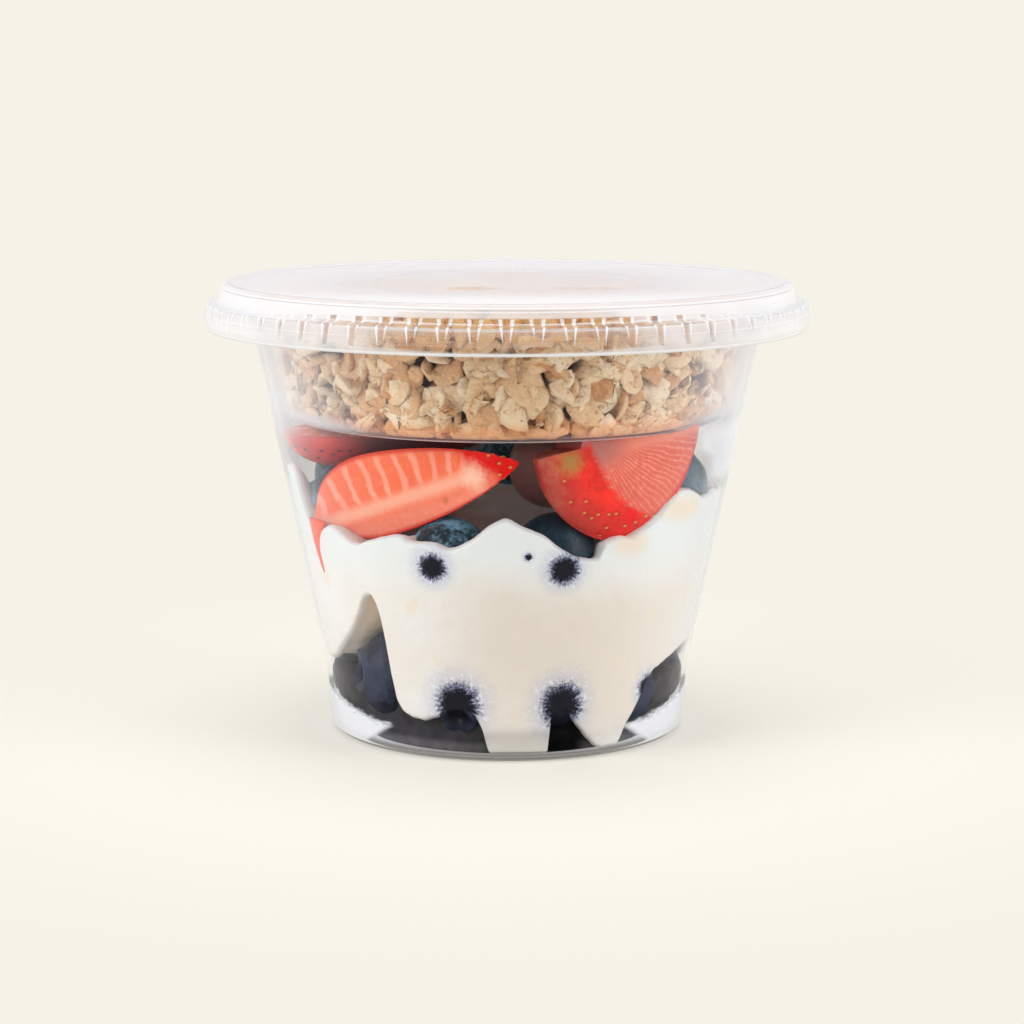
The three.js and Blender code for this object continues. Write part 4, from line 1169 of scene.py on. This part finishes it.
def flake(centre, normal, size, tilt, sides=10):
    """A thin lens of rings r(a) = 1 + noise, cupped, bent to a saddle and creased along its length."""
    a = np.arange(sides) * 2 * np.pi / sides
    outline = 1 + oats.normal(0, 0.09, sides)
    radius = RING_PARTS[:, None] * outline
    x = size[0] / 2 * radius * np.cos(a)
    y = size[1] / 2 * radius * np.sin(a)
    cup_depth = oats.choice([-1, 1]) * oats.uniform(0.02, 0.2)
    bend = oats.normal(0, 0.05) * x**2 + cup_depth * y**2 + oats.normal(0, 0.05) * x * y
    crease = -0.6 * np.exp(-((y / 0.7) ** 2)) * (RING_HEIGHTS[:, None] > 0.5)
    z = RING_HEIGHTS[:, None] * size[2] / 2 + bend + crease + oats.normal(0, 0.16, x.shape)
    lean = unit(normal + oats.normal(0, tilt, 3))
    side = unit(np.cross(lean, oats.normal(0, 1, 3)))
    rows = turned(stacked(x, y, z), side, np.cross(lean, side), lean) + centre
    points, quads, tris = skin(rows)
    edge = np.append(np.repeat(1 - np.abs(RING_HEIGHTS), sides), [0, 0])
    return (press_in_tray(points), quads, tris), edge


def beside_tray(z, b, inset):
    """A point at some distance inside the tray's side, or inside its side at 58 mm where z is less."""
    return at(b, tray_inner(max(z, 58)) - inset, z)


def clump(z, b):
    """0 to 1: how far the clusters on the heap's side stand back from the tray."""
    return 0.5 + 0.5 * noise(at(b, 44.0, z * 1.2), 6.5)


def flake_places():
    """Centre, outward direction, size and tilt: the heap's side, its top, its floor, and crumbs."""
    down, up = np.array([0, 0, -1.0]), np.array([0, 0, 1.0])
    for _ in range(SIDE_FLAKES):
        z, b = oats.uniform(55.3, 74), oats.uniform(0, 360)
        centre = beside_tray(z, b, 0.9 + 4.3 * clump(z, b) * oats.uniform(0.6, 1))
        yield centre, at(b, 1.0, 0.0), oats.uniform(0.65, 1.15), oats.choice([0.3, 0.7, 1.5])
    for _ in range(TOP_FLAKES):
        r, b = 41 * np.sqrt(oats.uniform()), oats.uniform(0, 360)
        centre = at(b, r, heap_top(r, b) + oats.uniform(-1.2, 0.4))
        yield centre, up, oats.uniform(0.7, 1.15), oats.choice([0.3, 0.6])
    for _ in range(FLOOR_FLAKES):
        r, b = 37 * np.sqrt(oats.uniform()), oats.uniform(0, 360)
        yield at(b, r, 55.6), down, oats.uniform(0.8, 1.2), 0.4
    for _ in range(CRUMBS):
        z, b = oats.uniform(55.2, 72), oats.uniform(0, 360)
        centre = beside_tray(z, b, oats.uniform(0.4, 2.5))
        yield centre, at(b, 1.0, 0.0), oats.uniform(0.25, 0.45), 1.0


flakes, edges, tones = [], [], []
for centre, normal, scale, tilt in flake_places():
    shape, edge = flake(centre, normal, FLAKE * scale * oats.uniform(0.85, 1.15, 3), tilt)
    flakes.append(shape)
    edges.append(edge)
    tones.append(np.full(len(edge), oats.uniform()))
print("flakes and crumbs:", len(flakes))


# %% Toasted colours and painted shade
def how_deep(points):
    """0 near the tray's side and 1 well behind it, where little light comes between the flakes."""
    z = points[:, 2]
    behind = tray_inner(np.maximum(z, 58)) - from_axis(points)
    return ease(1.4, 4.4, behind) * ease(56, 57.5, z) * (1 - ease(70, 72, z))


def toasted_and_shaded(name, stops, depth):
    """Oat colours by each flake's own tone, painted shade deep behind the tray's side, orange low in the
    tray and over it, with specks.
    """
    paint = Paint(name)
    z = paint.xyz()[2]
    fine, fibre = paint.grain(1.6, 4), paint.grain(0.9, 3, stretch=(1, 1, 2.2))
    tone = paint.field("tone") * 0.7 + fine * 0.3
    colour = paint.layers(
        paint.node("ValToRGB", {"stops": stops}, {0: tone}),
        (paint.field("edge") * 0.35, (0.95, 0.8, 0.56)),
        (fibre.step(0.55, 0.7) * 0.35, (0.7, 0.42, 0.26)),
        (paint.field("deep") * 0.85, (0.22, 0.12, 0.1)),
        (paint.grain(0.9, 1).step(0.66, 0.72) * 0.5, (0.34, 0.16, 0.08)),
        (z.step(69.4, 71.0) * 0.75, (0.98, 0.56, 0.2)),
        # Orange low in the tray, made bright as painted light against the shade there.
        ((z + paint.grain(0.25, 2) * 3 - 1.5).fall(55.0, 58.6) * 0.8, (0.95, 0.4, 0.13)),
    )
    return paint.finish(paint.body(colour, 0.65, 0.25, fine * 0.7 + fibre * 0.3, depth))


oat_stops = [
    (0.0, (0.56, 0.22, 0.08)), (0.2, (0.72, 0.39, 0.18)), (0.45, (0.9, 0.64, 0.38)),
    (0.75, (0.98, 0.8, 0.56)), (1.0, (1.0, 0.9, 0.71)),
]
# The heart is painted dark, as the shade between the flakes.
shaded_core_stops = [(0.0, (0.14, 0.075, 0.06)), (1.0, (0.32, 0.17, 0.12))]
make_piece("granola_heart", core, toasted_and_shaded("shaded_heart", shaded_core_stops, 0.4),
           fields={"tone": np.full(len(points), 0.4), "edge": np.zeros(len(points))})
oat_shape = joined(flakes)
make_piece("oat_flakes", oat_shape, toasted_and_shaded("toasted_oats", oat_stops, 0.6), ["granola"],
           {"tone": np.concatenate(tones), "edge": np.concatenate(edges), "deep": how_deep(oat_shape[0])})

# %% [markdown]
# ## Juice in the bottom of the cup
#
# Dark juice and crushed skins have settled between the lowest berries. One closed body covers the
# cup's floor, fills the gaps up to the yogurt, and reaches the wall only where the yogurt leaves
# the wall open high up.

# %% Juice
JUICE_TOP, JUICE_R, OPEN_Z = 12.4, 27.6, 12.0


def juice_rows(sides=240):
    """Rows along the cup's floor, up between the berries with a rough side, and over the top."""
    b = around(sides, -180)
    beside_berry = np.exp(-(((b + 49) / 12) ** 4))
    reach = ease(OPEN_Z - 2, OPEN_Z, through(LOWER_EDGE, b)) * 0.9 * (1 - beside_berry)
    floor = [at(b, r, cup_floor(r) + 0.02) for r in np.linspace(1, 27.8, 14)]
    side = []
    for z in np.linspace(1.3, 11.5, 22):
        r = mix(np.minimum(JUICE_R, cup_inner(z) - 0.6), cup_inner(z) - 0.4, reach * ease(3.5, 7, z))
        side.append(at(b, r + 0.25 * noise(at(b, 30.0, z), 1.6), z))
    top = [at(b, JUICE_R * part, JUICE_TOP) for part in np.linspace(0.94, 0.04, 10)]
    return np.stack(floor + side + top)


def juice_finish():
    """Nearly black in the middle of the front, as painted shade among the lowest berries, with grey dregs
    on the floor at both sides of it.
    """
    paint = Paint("berry_juice")
    x, _, z = paint.xyz()
    dregs = paint.layers(
        (0.07, 0.065, 0.072), (paint.grain(0.5, 3), (0.23, 0.22, 0.235)),
        (z.step(1.8, 3.2) * 0.75, (0.012, 0.011, 0.013)))
    # Near black in the middle of the front, as painted shade.
    colour = paint.blend(1 - x.step(-6, 2) * x.fall(11, 15), (0.0005, 0.0005, 0.0005), dregs)
    return paint.finish(paint.body(colour, 0.5, 0.06))


make_piece("juice", skin(juice_rows()), juice_finish())

# %% [markdown]
# ## The floor, the light and the camera
#
# The parfait stands on a wide pale floor that fades into the same pale colour as the world, so no
# horizon shows. Large soft lights from the front left, the front right and above leave gentle
# highlights, and a long lens looks slightly down on the cup.

# %% Floor
BACKDROP, ROOM = (0.925, 0.89, 0.805), (0.42, 0.42, 0.44)
FLOOR_NEAR, FLOOR_FAR, FLOOR_SIZE = 45, 150, 30


def floor_finish():
    """Half lit and half glowing near the cup, so shadows stay soft, and all glow far away."""
    paint = Paint("pale_floor")
    cream = paint.body((0.87, 0.84, 0.76), 0.9, 0.0)
    glow = paint.node("Emission", None, {"Color": rgba(BACKDROP), "Strength": 1.0})
    share = 0.5 * paint.length(*paint.xyz()).step(FLOOR_NEAR, FLOOR_FAR) + 0.5
    return paint.finish(paint.node("MixShader", None, {0: share, 1: cream, 2: glow}))


floor_mesh = bpy.data.meshes.new("floor")
floor_corners = [(FLOOR_SIZE * x, FLOOR_SIZE * y, 0) for x, y in ((-1, -1), (1, -1), (1, 1), (-1, 1))]
floor_mesh.from_pydata(floor_corners, [], [(0, 1, 2, 3)])
floor_mesh.materials.append(floor_finish())
floor = bpy.data.objects.new("floor", floor_mesh)
bpy.context.scene.collection.objects.link(floor)

world = bpy.data.worlds.new("soft_room")
bpy.context.scene.world = world
world.use_nodes = True
sky = world.node_tree
direction = sky.nodes.new("ShaderNodeTexCoord").outputs["Generated"]
split = sky.nodes.new("ShaderNodeSeparateXYZ")
fade = sky.nodes.new("ShaderNodeValToRGB")
for stop, position, colour in zip(fade.color_ramp.elements, (0.05, 0.3), (BACKDROP, ROOM)):
    stop.position, stop.color = position, rgba(colour)
sky.links.new(direction, split.inputs[0])
sky.links.new(split.outputs["Z"], fade.inputs[0])
sky.links.new(fade.outputs[0], sky.nodes["Background"].inputs["Color"])


# %% Lights
MIDDLE, COOL, PLAIN = np.array([0, 0, 0.04]), (0.96, 0.98, 1), (1, 1, 1)


def soft_light(name, position, size, power, colour):
    """A rectangle of light that looks at the middle of the cup; sizes are in metres."""
    light = bpy.data.lights.new(name, "AREA")
    light.shape = "RECTANGLE"
    light.size, light.size_y = size
    light.energy, light.color = power, colour
    lamp = bpy.data.objects.new(name, light)
    lamp.location = position
    lamp.rotation_euler = Vector(MIDDLE - np.array(position)).to_track_quat("-Z", "Y").to_euler()
    bpy.context.scene.collection.objects.link(lamp)


soft_light("key", (-0.62, -0.38, 0.38), (0.4, 0.5), 3.75, COOL)
soft_light("fill", (0.66, -0.3, 0.34), (0.4, 0.6), 3.35, COOL)
soft_light("top", (0, 0.1, 0.8), (0.6, 0.4), 2.7, PLAIN)

# %% Camera, with its lens and sensor in millimetres
SENSOR_WIDE, LENS = 36.0, 103.93
camera_data = bpy.data.cameras.new("long_lens")
camera_data.sensor_width, camera_data.lens = SENSOR_WIDE, LENS
camera = bpy.data.objects.new("long_lens", camera_data)
bpy.context.scene.collection.objects.link(camera)
eye, look_at = Vector((0.87, -507.128, 119.038)) * MM, Vector((0.87, 0, 37.26)) * MM
camera.location = eye
camera.rotation_euler = (look_at - eye).to_track_quat("-Z", "Y").to_euler()
bpy.context.scene.camera = camera
bpy.context.scene.view_settings.view_transform = "Standard"
bpy.context.scene.cycles.transparent_max_bounces = 32
print("lens of", LENS, "mm, eye at", [round(c, 4) for c in eye])
